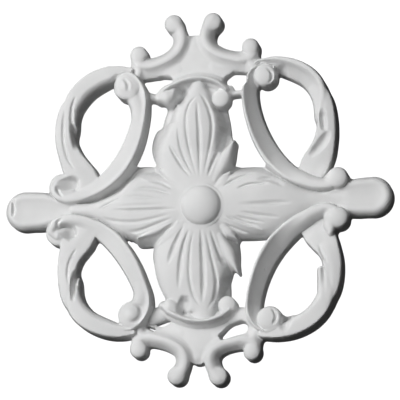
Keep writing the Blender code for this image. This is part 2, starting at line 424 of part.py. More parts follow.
def add_quarter(relief, sx, sz):
    """One scroll with its leaf, its volutes and its half of a crown."""
    turned = sx * sz
    left = sx < 0
    if left:
        add_dome(relief, spot(BASE_KNOB, sx, sz), PIT_RADIUS, PIT_RIM_HEIGHT, SHALLOW_DOME)
    else:
        add_dome(relief, place(*RIGHT_FILL[sz]), RIGHT_FILL_RADIUS, RIGHT_FILL_HEIGHT, SHALLOW_DOME)
    leaf = quarter(LEAF, sx, sz, LEAF_WIDTH, LEAF_HEIGHT)
    if not left:
        rising = [(x, z, half, h * rise) for (x, z, half, h), rise in zip(leaf, LEAF_RISE_RIGHT)]
        leaf = rising + leaf[len(rising):]
    add_member(relief, leaf, LEAF_SECTION, mirror=turned, draft=EDGE_DRAFT)
    band = quarter(BAND, sx, sz, BAND_WIDTH, BAND_HEIGHT)
    section = UPPER_RIGHT_BAND_SECTION if sx > 0 and sz > 0 else BAND_SECTION
    add_member(relief, band, section, TONGUE_SECTION, turned, TONGUE_TURNS, draft=EDGE_DRAFT)
    limb = quarter(LIMB, sx, sz, LIMB_WIDTH, LIMB_HEIGHT)
    if left:
        limb = quarter(LIMB_TIP, sx, sz, LIMB_WIDTH, LIMB_HEIGHT) + limb
    else:
        width, height = BULB_LIMB_ROW
        bulb = place(*BULBS[sz])
        limb = [(*bulb, 0.5 * LIMB_WIDTH * width, LIMB_HEIGHT * height)] + limb
    section = LEFT_LIMB_SECTION if left else LIMB_SECTION
    curl_turns = (CURL_SHARE, 2 * CURL_SHARE)
    add_member(relief, limb, CURL_SECTION, section, turned, curl_turns, draft=EDGE_DRAFT)
    x, z, share = VOLUTES[sx, sz]
    add_dome(relief, place(x, z), share * VOLUTE_RADIUS, VOLUTE_HEIGHT, VOLUTE_SHOULDER)
    if left:
        add_member(relief, quarter(VOLUTE_NECK, sx, sz, LIMB_WIDTH, LIMB_HEIGHT), ROUND_SECTION)
        add_dome(relief, place(x, z), EYE_RADIUS, EYE_HEIGHT, EYE_SHOULDER)
    else:
        add_dome(relief, bulb, BULB_RADIUS, BULB_HEIGHT, BULB_SHOULDER)
    drop = [(*spot(point, sx, sz), DROP_HALF_WIDTH, DROP_SHARE * WEB_HEIGHT) for point in DROP_BAND]
    add_member(relief, drop, WEB_SECTION)
    for stations in (CROWN_FOOT, CROWN):
        crown = quarter(stations, sx, sz, CROWN_WIDTH, CROWN_HEIGHT)
        add_member(relief, crown, CROWN_SECTION, mirror=turned, fall=CROWN_FALL)
    add_dome(relief, spot(INNER_KNOB, sx, sz), INNER_KNOB_SHARE * KNOB_RADIUS, KNOB_HEIGHT, KNOB_SHOULDER)
    add_dome(relief, spot(OUTER_KNOB, sx, sz), KNOB_RADIUS, KNOB_HEIGHT, KNOB_SHOULDER)


def add_crown_web(relief, sz):
    stations = [(*spot((0, z), 1, sz), 0.5 * w, WEB_HEIGHT * h) for z, w, h in CROWN_WEB]
    add_member(relief, stations, WEB_SECTION)


def add_collar(relief, sz):
    """The arc under a crown, its low backing, and the leaf and the ball at its ends."""
    stations = [(*place(*drifted(x, sz * z)), 0.5 * COLLAR_WIDTH * w, COLLAR_HEIGHT * h) for x, z, w, h in COLLAR]
    backing = [(x, z, BACKING_HALF_WIDTH, BACKING_SHARE * h) for x, z, _, h in stations]
    add_member(relief, backing, WEB_SECTION)
    add_member(relief, stations, ROUND_SECTION)
    ball_height = COLLAR_BALL_SHARE * COLLAR_HEIGHT
    add_dome(relief, place(*COLLAR_BALL[sz]), COLLAR_BALL_RADIUS, ball_height, BULB_SHOULDER)
    leaf = [(*place(x, sz * z), w, COLLAR_HEIGHT * h) for x, z, w, h in COLLAR_LEAF]
    add_member(relief, leaf, ROUND_SECTION)


def add_links(relief):
    """The small bridges between the collars and the scrolls."""
    for ends, width in LINKS:
        stations = [(*place(x, z), 0.5 * LINK_WIDTH * width, LINK_HEIGHT) for x, z in ends]
        add_member(relief, stations, ROUND_SECTION)


def add_petal(relief, skirt, front):
    """A petal: its low skirt and its front."""
    add_member(relief, [(*place(x, z), half, SKIRT_HEIGHT) for x, z, half in skirt], SKIRT_SECTION)
    rows = [(*place(x, z), half, PETAL_HEIGHT * h) for x, z, half, h in front]
    add_member(relief, rows, PETAL_SECTION, fall=PETAL_FALL)


def carve_all(relief, carvings, depth):
    for line, share in carvings:
        relief.carve([(*place(x, z), half) for x, z, half in line], depth * share)


def add_flower(relief):
    for skirt, front in ((UPPER_SKIRT, UPPER_FRONT), (LOWER_SKIRT, LOWER_FRONT), (LEFT_SKIRT, LEFT_FRONT),
                         (RIGHT_SKIRT, RIGHT_FRONT)):
        add_petal(relief, skirt, front)
    for start, end, half, share in RIDGES:
        height = PETAL_HEIGHT * share
        middle = [0.5 * (a + b) for a, b in zip(start, end)]
        rows = [(*place(*start), RIDGE_ROOT_WIDTH * half, height), (*place(*middle), half, height),
                (*place(*end), RIDGE_TIP_WIDTH * half, height * RIDGE_TIP_SHARE)]
        add_member(relief, rows, ROUND_SECTION, fall=PETAL_FALL)
    carve_all(relief, FLUTES, FLUTE_DEPTH)
    centre = place(*FLOWER_CENTRE)
    add_dome(relief, centre, BUTTON_RADIUS + BUTTON_SEAT, PETAL_HEIGHT, SHALLOW_DOME)
    add_dome(relief, centre, BUTTON_RADIUS, BUTTON_HEIGHT, BUTTON_SHOULDER)


def add_lobes(relief):
    for sx in (1, -1):
        for rows, section in ((NECK, WEB_SECTION), (LOBE, DISH_SECTION)):
            stations = [(*place(sx * x, LOBE_LEVEL), 0.5 * LOBE_WIDTH * w, LOBE_HEIGHT * h) for x, w, h in rows]
            add_member(relief, stations, section)


def relief_at(points):
    """The whole casting at these points of the wall plane."""
    relief = Relief(points)
    for sz in (1, -1):
        add_crown_web(relief, sz)
    add_lobes(relief)
    add_flower(relief)
    for sx in (-1, 1):
        for sz in (1, -1):
            add_quarter(relief, sx, sz)
    for sz in (1, -1):
        add_collar(relief, sz)
    add_links(relief)
    for hole in SIDE_HOLES:
        relief.pierce([(*place(x, z), half) for x, z, half in hole])
    for rows, share in ((BLUNT_TONGUE, 1.0), (CLAW, 1.0), (LOWER_SHELF, SHELF_SHARE)):
        add_member(relief, [(*place(x, z), half, LEAF_HEIGHT * share) for x, z, half in rows], ROUND_SECTION)
    carve_all(relief, HOLLOWS, HOLLOW_DEPTH)
    for rows in CURL_TIPS:
        add_member(relief, [(*place(x, z), half, LIMB_HEIGHT * h) for x, z, half, h in rows], ROUND_SECTION)
    carve_all(relief, GROOVES, GROOVE_DEPTH)
    return relief


def clear_scene():
    for old in list(bpy.data.objects):
        bpy.data.objects.remove(old, do_unlink=True)


def sheet_nodes():
    """The square grid of the drawing sheet, row by row."""
    columns = np.arange(-0.5 * WIDTH - SHEET_MARGIN, 0.5 * WIDTH + SHEET_MARGIN, GRID)
    rows = np.arange(-0.5 * HEIGHT - SHEET_MARGIN, 0.5 * HEIGHT + SHEET_MARGIN, GRID)
    return np.meshgrid(columns, rows)


def snapped_to_outline(x, z, value):
    """Moves the grid points next to the outline onto it, so that no sliver lies along it."""
    slope_z, slope_x = np.gradient(value, GRID)
    steepness = np.maximum(slope_x**2 + slope_z**2, LEAST_STEEPNESS)
    close = np.abs(value) < SNAP_SHARE * GRID
    x = np.where(close, x - value * slope_x / steepness, x)
    z = np.where(close, z - value * slope_z / steepness, z)
    return x, z, np.where(close, 0.0, value)


def outline_cells(x, z, value):
    """The grid cut along the outline: its points, and its cells as lists of point numbers."""
    points = np.column_stack([x.ravel(), z.ravel()]).tolist()
    flat = value.ravel()
    per_row = x.shape[1]
    crossings = {}

    def crossing(a, b):
        key = (min(a, b), max(a, b))
        if key not in crossings:
            share = flat[a] / (flat[a] - flat[b])
            crossings[key] = len(points)
            points.append([points[a][k] + share * (points[b][k] - points[a][k]) for k in (0, 1)])
        return crossings[key]

    within = value >= 0
    corners = within[:-1, :-1].astype(int) + within[:-1, 1:] + within[1:, 1:] + within[1:, :-1]
    cells = []
    for row, column in np.argwhere(corners > 0):
        start = row * per_row + column
        ring = (start, start + 1, start + per_row + 1, start + per_row)
        cell = []
        for a, b in zip(ring, ring[1:] + ring[:1]):
            if flat[a] >= 0:
                cell.append(a)
            if flat[a] * flat[b] < 0:
                cell.append(crossing(a, b))
        if len(cell) > 2:
            cells.append(cell)
    return np.array(points), cells


def relief_mesh():
    """The front as a sheet of cells inside the outline, carried back through the wall plane as straight sides."""
    x, z = sheet_nodes()
    relief = relief_at(np.column_stack([x.ravel(), z.ravel()]))
    value = relief.inside.reshape(x.shape) + EDGE_ROUNDING
    points, cells = outline_cells(*snapped_to_outline(x, z, value))
    used = np.unique([number for cell in cells for number in cell])
    height = np.zeros(len(points))
    height[used] = np.maximum(relief_at(points[used]).height, LEAST_HEIGHT)

    sheet = bmesh.new()
    made = {n: sheet.verts.new((points[n, 0] * MM, -height[n] * MM, points[n, 1] * MM)) for n in used}
    for cell in cells:
        sheet.faces.new([made[n] for n in cell])
    back = bmesh.ops.extrude_face_region(sheet, geom=sheet.faces[:])
    for item in back["geom"]:
        if isinstance(item, bmesh.types.BMVert):
            item.co.y = BACK_STOCK * MM
    bmesh.ops.triangulate(sheet, faces=sheet.faces[:], quad_method="SHORT_EDGE", ngon_method="BEAUTY")
    bmesh.ops.recalc_face_normals(sheet, faces=sheet.faces[:])
    mesh = bpy.data.meshes.new("rosette")
    sheet.to_mesh(mesh)
    sheet.free()
    return mesh


def back_cutter():
    """A block behind the wall plane, which takes the casting's back off flat."""
    block = bmesh.new()
    bmesh.ops.create_cube(block, size=1.0)
    size = (CUTTER_SPREAD * WIDTH * MM, BACK_CUT * MM, CUTTER_SPREAD * HEIGHT * MM)
    for corner in block.verts:
        corner.co.x *= size[0]
        corner.co.y = (corner.co.y + 0.5) * size[1]
        corner.co.z *= size[2]
    mesh = bpy.data.meshes.new("back_cutter")
    block.to_mesh(mesh)
    block.free()
    cutter = bpy.data.objects.new("back_cutter", mesh)
    cutter.hide_render = True
    cutter.display_type = "WIRE"
    return cutter


def primed_material():
    """Factory-primed rigid urethane: off-white, matt."""
    material = bpy.data.materials.new("primed_urethane")
    material.use_nodes = True
    shader = material.node_tree.nodes["Principled BSDF"]
    shader.inputs["Base Color"].default_value = (0.82, 0.82, 0.81, 1.0)
    shader.inputs["Roughness"].default_value = 0.62
    shader.inputs["Metallic"].default_value = 0.0
    return material


def build_rosette():
    mesh = relief_mesh()
    mesh.materials.append(primed_material())
    mesh.shade_smooth()
    mesh.set_sharp_from_angle(angle=math.radians(SHARP_ANGLE))
    rosette = bpy.data.objects.new("rosette", mesh)
    cutter = back_cutter()
    for item in (rosette, cutter):
        bpy.context.scene.collection.objects.link(item)
    thinned = rosette.modifiers.new("fewer faces", "DECIMATE")
    thinned.ratio = min(1.0, FACE_BUDGET / len(mesh.polygons))
    flat_back = rosette.modifiers.new("flat back", "BOOLEAN")
    flat_back.operation = "DIFFERENCE"
    flat_back.solver = "EXACT"
    flat_back.object = cutter
    return rosette


def main():
    clear_scene()
    build_rosette()


if __name__ == "__main__":
    main()
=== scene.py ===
"""Rosette applique, dressed: the one casting at full detail, its primed surface, studio light and the camera.

The front is the same relief as the casting's, worked out on a finer grid and with a few small marks added.
Sizes are in millimetres up to the mesh, which is in metres like the frame.
"""

import math

import bmesh
import bpy
import numpy as np
from mathutils import Matrix, Vector


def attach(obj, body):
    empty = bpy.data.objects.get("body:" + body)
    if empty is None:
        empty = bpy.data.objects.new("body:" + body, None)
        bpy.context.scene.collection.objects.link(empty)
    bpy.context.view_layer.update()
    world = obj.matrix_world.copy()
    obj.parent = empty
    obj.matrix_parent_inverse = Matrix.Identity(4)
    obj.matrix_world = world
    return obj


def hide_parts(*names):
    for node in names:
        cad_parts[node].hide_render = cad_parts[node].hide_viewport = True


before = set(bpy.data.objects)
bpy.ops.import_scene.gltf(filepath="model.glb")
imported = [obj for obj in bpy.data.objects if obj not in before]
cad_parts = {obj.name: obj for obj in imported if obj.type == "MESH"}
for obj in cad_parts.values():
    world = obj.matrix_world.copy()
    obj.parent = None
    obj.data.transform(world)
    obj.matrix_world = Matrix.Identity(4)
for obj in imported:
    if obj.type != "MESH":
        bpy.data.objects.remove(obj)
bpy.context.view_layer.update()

MM = 0.001

# Driving sizes, in millimetres
WIDTH = 165.8
HEIGHT = 160.0
LIMB_WIDTH = 8.2
LIMB_HEIGHT = 11.6
VOLUTE_RADIUS = 5.5
VOLUTE_HEIGHT = 12.4
EYE_RADIUS = 3.5
EYE_HEIGHT = 13.0
BAND_WIDTH = 8.8
BAND_HEIGHT = 11.8
LEAF_WIDTH = 13.2
LEAF_HEIGHT = 11.0
CROWN_WIDTH = 6.4
CROWN_HEIGHT = 10.4
KNOB_RADIUS = 3.5
KNOB_HEIGHT = 10.3
WEB_HEIGHT = 8.0
PIT_HEIGHT = 4.6
LINK_WIDTH = 2.6
LINK_HEIGHT = 7.0
COLLAR_WIDTH = 2.4
COLLAR_HEIGHT = 12.6
COLLAR_BALL_RADIUS = 3.7
PETAL_HEIGHT = 12.8
SKIRT_HEIGHT = 3.8
FLUTE_DEPTH = 0.85
BUTTON_RADIUS = 8.3
BUTTON_HEIGHT = 16.6
LOBE_WIDTH = 16.6
LOBE_HEIGHT = 8.8
GROOVE_DEPTH = 0.9
HOLLOW_DEPTH = 4.0
FILLET = 1.1
EDGE_ROUNDING = 0.15
WALL_SLOPE = 4.5
CROWN_FALL = 1.1
PETAL_FALL = 2.1

# How far inside their outline the edges of scrolls and leaves begin to round off
EDGE_DRAFT = 0.4

# The sheet that the ornament is drawn on: half its width and half its height
DRAWN_HALF_WIDTH = 82.9
DRAWN_HALF_HEIGHT = 80.0

# Sections: pairs of a place across, from -1 on the right of the spine to 1 on its left, and a share of the
# member's height
CURL_SECTION = ((-1, 0.66), (-0.75, 0.80), (-0.4, 0.93), (0, 1.0), (0.5, 1.0), (0.85, 0.94), (1, 0.80))
LIMB_SECTION = ((-1, 0.46), (-0.7, 0.56), (0.0, 0.77), (0.42, 0.91), (0.62, 0.99), (0.82, 1.0), (1, 0.95))
LEFT_LIMB_SECTION = ((-1, 0.76), (-0.8, 0.84), (-0.2, 0.91), (0.35, 0.96), (0.65, 1.0), (0.85, 1.0),
                     (1, 0.95))
BAND_SECTION = ((-1, 0.74), (-0.8, 0.88), (-0.55, 0.97), (-0.3, 1.0), (0.4, 1.0), (0.8, 0.99), (1, 0.96))
UPPER_RIGHT_BAND_SECTION = ((-1, 0.52), (-0.6, 0.63), (0.0, 0.80), (0.3, 0.93), (0.5, 1.0), (0.8, 1.0),
                            (1, 0.94))
TONGUE_SECTION = ((-1, 0.80), (-0.6, 0.95), (0, 1.0), (0.6, 0.94), (1, 0.76))
LEAF_SECTION = ((-1, 0.90), (-0.8, 0.95), (-0.45, 0.98), (0, 1.0), (0.4, 0.99), (0.8, 0.98), (1, 0.94))
ROUND_SECTION = ((-1, 0.72), (-0.8, 0.88), (-0.4, 0.98), (0, 1.0), (0.4, 0.98), (0.8, 0.88), (1, 0.72))
WEB_SECTION = ((-1, 0.84), (-0.5, 0.96), (0, 1.0), (0.5, 0.96), (1, 0.84))
DISH_SECTION = ((-1, 0.74), (-0.86, 0.93), (-0.68, 1.0), (-0.4, 0.95), (0, 0.92), (0.4, 0.95), (0.68, 1.0),
                (0.86, 0.93), (1, 0.74))

# Stations of one quarter, as (x, z, share of the member's width, share of its height). Only the left limbs
# curl on through the tip; the right ones end in bulbs.
LIMB_TIP = ((60.0, 11.6, 0.46, 0.84), (62.0, 9.2, 0.56, 0.90), (60.2, 6.3, 0.64, 0.92))
LIMB = ((55.8, 5.1, 0.70, 0.93), (50.5, 5.9, 0.74, 0.93), (45.2, 8.1, 0.82, 0.93), (40.5, 11.0, 0.90, 0.94),
        (35.8, 15.2, 0.98, 0.96), (31.6, 20.4, 1.0, 0.98), (27.7, 27.0, 0.95, 1.0), (25.0, 34.0, 0.87, 1.0),
        (23.6, 41.0, 0.82, 1.0), (23.7, 47.0, 0.76, 1.0), (26.0, 52.2, 0.66, 1.0), (29.6, 55.0, 0.52, 0.98),
        (33.4, 54.6, 0.38, 0.94))
BAND = ((28.0, 57.0, 0.44, 0.90), (33.0, 57.0, 0.66, 0.95), (38.0, 56.2, 0.86, 0.99), (43.0, 54.6, 0.94, 1.0),
        (47.5, 52.0, 0.95, 1.0), (51.0, 48.2, 0.95, 0.99), (53.2, 43.6, 0.88, 0.97), (53.7, 38.4, 0.66, 0.92),
        (53.4, 33.0, 0.50, 0.82), (53.6, 28.2, 0.20, 0.62))
LEAF = ((44.5, 8.5, 0.60, 0.84), (49.4, 12.6, 0.94, 0.88), (53.0, 17.6, 0.90, 0.92), (55.3, 23.0, 0.74, 0.95),
        (56.6, 29.0, 0.64, 0.98), (56.9, 35.5, 0.54, 1.0), (56.2, 41.5, 0.42, 1.0), (54.8, 46.6, 0.20, 0.98))
CROWN = ((9.4, 76.6, 0.90, 0.96), (7.3, 73.2, 0.96, 0.98), (6.5, 69.4, 0.92, 1.0), (7.9, 65.7, 0.86, 1.0),
         (11.3, 62.8, 0.82, 0.98), (15.6, 61.0, 0.80, 0.96), (20.0, 60.2, 0.84, 0.94),
         (23.8, 61.2, 0.90, 0.93), (24.6, 63.6, 0.92, 0.92))
CROWN_FOOT = ((24.6, 62.0, 0.80, 0.90), (25.6, 57.0, 0.86, 0.86), (26.6, 53.6, 0.80, 0.80))
VOLUTES = {(-1, 1): (-29.5, 50.2, 1.02), (-1, -1): (-28.4, -48.4, 1.04),
           (1, 1): (30.1, 52.3, 0.84), (1, -1): (30.3, -52.2, 0.94)}
VOLUTE_NECK = ((24.6, 36.0, 0.70, 0.92), (24.6, 41.5, 0.84, 0.97), (26.4, 46.4, 0.90, 1.0),
               (28.6, 49.4, 0.80, 1.02))
INNER_KNOB = (9.2, 76.6)
OUTER_KNOB = (24.3, 64.4)
BASE_KNOB = (59.4, 10.0)

# Stations along the upright and the level axes
CROWN_WEB = ((47, 20, 0.92), (52, 24, 0.95), (56, 34, 0.92), (60, 34, 0.95), (64, 22, 1.0),
             (66.0, 12.0, 1.0), (67.4, 8.0, 1.0))
DROP_BAND = ((8.0, 57.6), (15.0, 57.4), (24.0, 56.6))
COLLAR = ((-15.0, 45.8, 0.8, 0.84), (-12.4, 48.3, 1.0, 0.95), (-8.0, 50.4, 1.0, 0.99), (-3.5, 51.9, 1.0, 1.0),
          (1.2, 52.3, 1.0, 1.0), (6.0, 51.6, 1.0, 1.0), (10.4, 49.6, 1.0, 0.97), (13.6, 47.0, 0.8, 0.86))
LOBE = ((44, 0.26, 0.92), (54, 0.32, 0.92), (60, 0.56, 0.95), (64, 0.82, 1.0), (68, 0.95, 1.0),
        (74.6, 1.0, 1.0))
NECK = ((50, 0.80, 0.50), (57, 0.92, 0.52), (63, 0.96, 0.55), (68, 0.96, 0.60))

# The hand's drift from the true symmetric drawing: (where, how far)
DRIFT = (((-30, 51), (-0.9, 0.4)), ((30, 51), (-0.6, 0.9)), ((-30, -51), (1.0, 2.4)),
         ((30, -51), (-0.4, -1.4)), ((-38, 13), (0.9, -1.6)), ((38, 13), (-0.7, -1.2)),
         ((-40, -13), (-1.2, -1.0)), ((42, -13), (0.8, -3.0)), ((-28, -28), (-1.4, -0.6)),
         ((28, -28), (1.2, -0.6)), ((-60, 8), (1.8, -2.0)), ((60, 8), (-0.4, 0.4)),
         ((-60, -8), (-0.8, -1.8)), ((60, -8), (-0.2, -2.0)), ((-24, 65), (0.0, 0.0)),
         ((24, 65), (-0.6, 1.8)), ((-24, -65), (-3.1, 1.4)), ((24, -65), (-3.2, -2.0)),
         ((-8, 77), (0.4, 0.8)), ((8, 77), (-2.4, 0.6)), ((-8, -77), (-0.4, 2.8)), ((8, -77), (-1.6, 1.6)),
         ((-57, 38), (-0.7, 0.0)), ((57, -38), (0.7, 1.0)), ((57, 38), (-1.2, 0.4)),
         ((-57, -38), (0.6, 0.6)), ((45, -56), (0.6, 0.8)), ((-45, -56), (0.6, 3.6)),
         ((-46, 54), (1.2, -1.2)), ((46, 54), (0.2, -0.6)))
DRIFT_REACH = 9.0
DRIFT_REST = 0.3

# The flower, drawn where it lies: low skirts carry its outline, (x, z, half width), and fronts carry its
# petals, (x, z, half width, share of height)
FLOWER_CENTRE = (2.2, -3.0)
UPPER_SKIRT = ((-1.4, 6.0, 14.0), (-1.6, 17.0, 16.3), (-1.9, 23.0, 18.2), (-1.8, 26.6, 17.8),
               (-1.0, 31.0, 15.2), (-0.6, 36.0, 14.0), (-0.2, 41.0, 12.6), (0.2, 46.0, 11.0))
LOWER_SKIRT = ((-1.4, -6.0, 14.0), (-1.1, -17.0, 17.4), (-1.4, -24.0, 18.3), (-1.6, -30.0, 16.2),
               (-1.1, -36.0, 14.2), (-0.2, -41.0, 13.0), (0.2, -47.0, 11.4))
LEFT_SKIRT = ((-4.0, -1.5, 14.0), (-17.0, -0.9, 17.0), (-27.0, -0.9, 17.2), (-33.0, -1.8, 12.8),
              (-41.0, -2.4, 8.0), (-54.0, -1.8, 4.0))
RIGHT_SKIRT = ((6.0, -1.5, 13.5), (15.0, -1.2, 15.4), (29.0, -1.4, 15.4), (35.0, -2.0, 12.6),
               (43.0, -2.6, 8.4), (55.0, -2.4, 4.4))
UPPER_FRONT = ((1.0, 2.0, 10.0, 1.0), (-0.6, 12.0, 13.0, 1.0), (-2.7, 19.4, 13.2, 0.98),
               (-1.7, 26.7, 11.6, 0.96), (-0.2, 32.7, 10.4, 0.93), (0.0, 38.8, 8.6, 0.89),
               (1.0, 44.8, 6.0, 0.86), (1.2, 48.6, 3.6, 0.86))
LOWER_FRONT = ((1.0, -6.0, 10.0, 1.0), (-1.2, -17.0, 14.4, 1.0), (-3.5, -24.0, 14.8, 0.98),
               (-3.0, -31.0, 14.8, 0.95), (-1.8, -37.0, 13.2, 0.91), (0.2, -42.0, 10.2, 0.88),
               (2.0, -46.4, 6.0, 0.86), (2.2, -49.6, 4.6, 0.84))
LEFT_FRONT = ((-2.0, -3.0, 9.0, 1.0), (-12.0, -2.6, 12.4, 1.0), (-20.0, -2.4, 13.8, 0.99),
              (-26.0, -3.0, 12.8, 0.96), (-32.0, -3.4, 9.6, 0.92), (-38.0, -2.9, 6.2, 0.86),
              (-45.0, -2.3, 3.2, 0.78), (-54.0, -1.6, 1.6, 0.68))
RIGHT_FRONT = ((6.0, -3.0, 9.0, 1.0), (14.0, -2.4, 12.4, 1.0), (22.0, -2.2, 13.4, 0.99),
               (31.0, -3.0, 12.0, 0.96), (40.0, -2.8, 8.4, 0.90), (48.0, -2.2, 4.4, 0.79),
               (57.0, -2.2, 3.2, 0.66), (66.0, -1.6, 2.4, 0.57))
SKIRT_SECTION = ((-1, 0.50), (-0.85, 0.86), (-0.6, 1.0), (0.6, 1.0), (0.85, 0.86), (1, 0.50))
PETAL_SECTION = ((-1, 0.70), (-0.88, 0.84), (-0.65, 0.94), (-0.3, 0.99), (0, 1.0), (0.3, 0.99), (0.65, 0.94),
                 (0.88, 0.84), (1, 0.70))
CROWN_SECTION = ((-1, 0.90), (-0.8, 0.97), (-0.5, 1.0), (-0.1, 0.99), (0.4, 0.89), (1, 0.66))
# Pointed ridges between the petals: start, end, half width, height share
RIDGES = (((8.0, 8.0), (16.2, 24.8), 3.2, 0.93), ((9.8, -16.0), (16.9, -31.6), 3.0, 0.92),
          ((-4.6, 5.2), (-16.0, 14.2), 3.0, 0.92), ((-6.0, -9.6), (-17.0, -19.2), 3.2, 0.94),
          ((8.6, 4.2), (14.6, 11.6), 2.6, 0.92), ((10.9, -12.2), (16.6, -17.4), 2.6, 0.90),
          ((-7.8, -9.7), (-25.6, -15.6), 1.9, 0.96), ((12.3, -8.8), (28.0, -14.4), 1.8, 0.95),
          ((-11.1, 4.2), (-24.1, 10.2), 2.2, 0.93))
CURL_SHARE = 0.22
TONGUE_TURNS = (0.55, 0.85)
DROP_SHARE = 0.9
RIDGE_TIP_SHARE = 0.86
BUTTON_SEAT = 1.2
BUTTON_SHOULDER = 0.76

# How finely the curves are followed, and how far around a member its points are looked for
ROWS_BETWEEN_STATIONS = 5
ROWS_BETWEEN_SECTION_POINTS = 6
SEARCH_REACH = 4.0
FAR_OUTSIDE = -1000.0
LEAST_HALF_WIDTH = 0.2
RUN_OUT_SHARE = 0.25
CUTTER_ROUNDNESS = 1.5
TINY_RUN = 1e-9
RIDGE_ROOT_WIDTH = 0.6
RIDGE_TIP_WIDTH = 0.15

# Shares and small sizes of the scrolls and collars
PIT_RADIUS = 5.4
PIT_RIM_HEIGHT = 9.4
RIGHT_FILL = {1: (52.4, 6.6), -1: (52.6, -10.6)}
RIGHT_FILL_RADIUS = 4.3
RIGHT_FILL_HEIGHT = 5.8
SHALLOW_DOME = 0.95
VOLUTE_SHOULDER = 0.86
EYE_SHOULDER = 0.72
KNOB_SHOULDER = 0.84
COLLAR_BALL_SHARE = 0.80
BULB_RADIUS = 4.3
BULB_HEIGHT = 12.0
SHELF_SHARE = 0.62
BULB_SHOULDER = 0.86
BULBS = {1: (60.0, 6.9), -1: (59.8, -10.2)}
BULB_LIMB_ROW = (0.98, 0.96)
LEAF_RISE_RIGHT = (0.60, 0.74, 0.90)
INNER_KNOB_SHARE = 1.1
DROP_HALF_WIDTH = 2.8
BACKING_HALF_WIDTH = 2.6
BACKING_SHARE = 0.74
COLLAR_BALL = {1: (10.7, 43.6), -1: (12.1, -45.4)}
COLLAR_LEAF = ((-15.6, 44.6, 1.6, 0.80), (-12.6, 45.2, 3.6, 0.93), (-9.4, 46.6, 2.8, 0.88))
LOBE_LEVEL = -1.2
LINKS = ((((-16.0, 45.2), (-21.0, 46.6)), 1.3), (((13.0, 46.0), (21.5, 46.6)), 1.0),
         (((-15.0, -47.0), (-21.0, -49.0)), 2.6), (((11.5, -50.0), (21.5, -50.4)), 3.2))

# Small holes through the webs beside the crowns, and grooves in the scrolls, drawn where they lie
SIDE_HOLES = (((-18.4, 51.4, 1.6), (-15.4, 52.8, 2.0), (-12.0, 53.2, 1.4)),
              ((14.4, 52.0, 2.2), (17.2, 52.4, 3.0), (18.8, 51.6, 2.4)),
              ((-22.4, -53.0, 0.4), (-19.8, -54.2, 0.6)),
              ((9.8, -58.2, 1.2), (13.8, -55.9, 2.4), (17.6, -54.8, 2.6)))

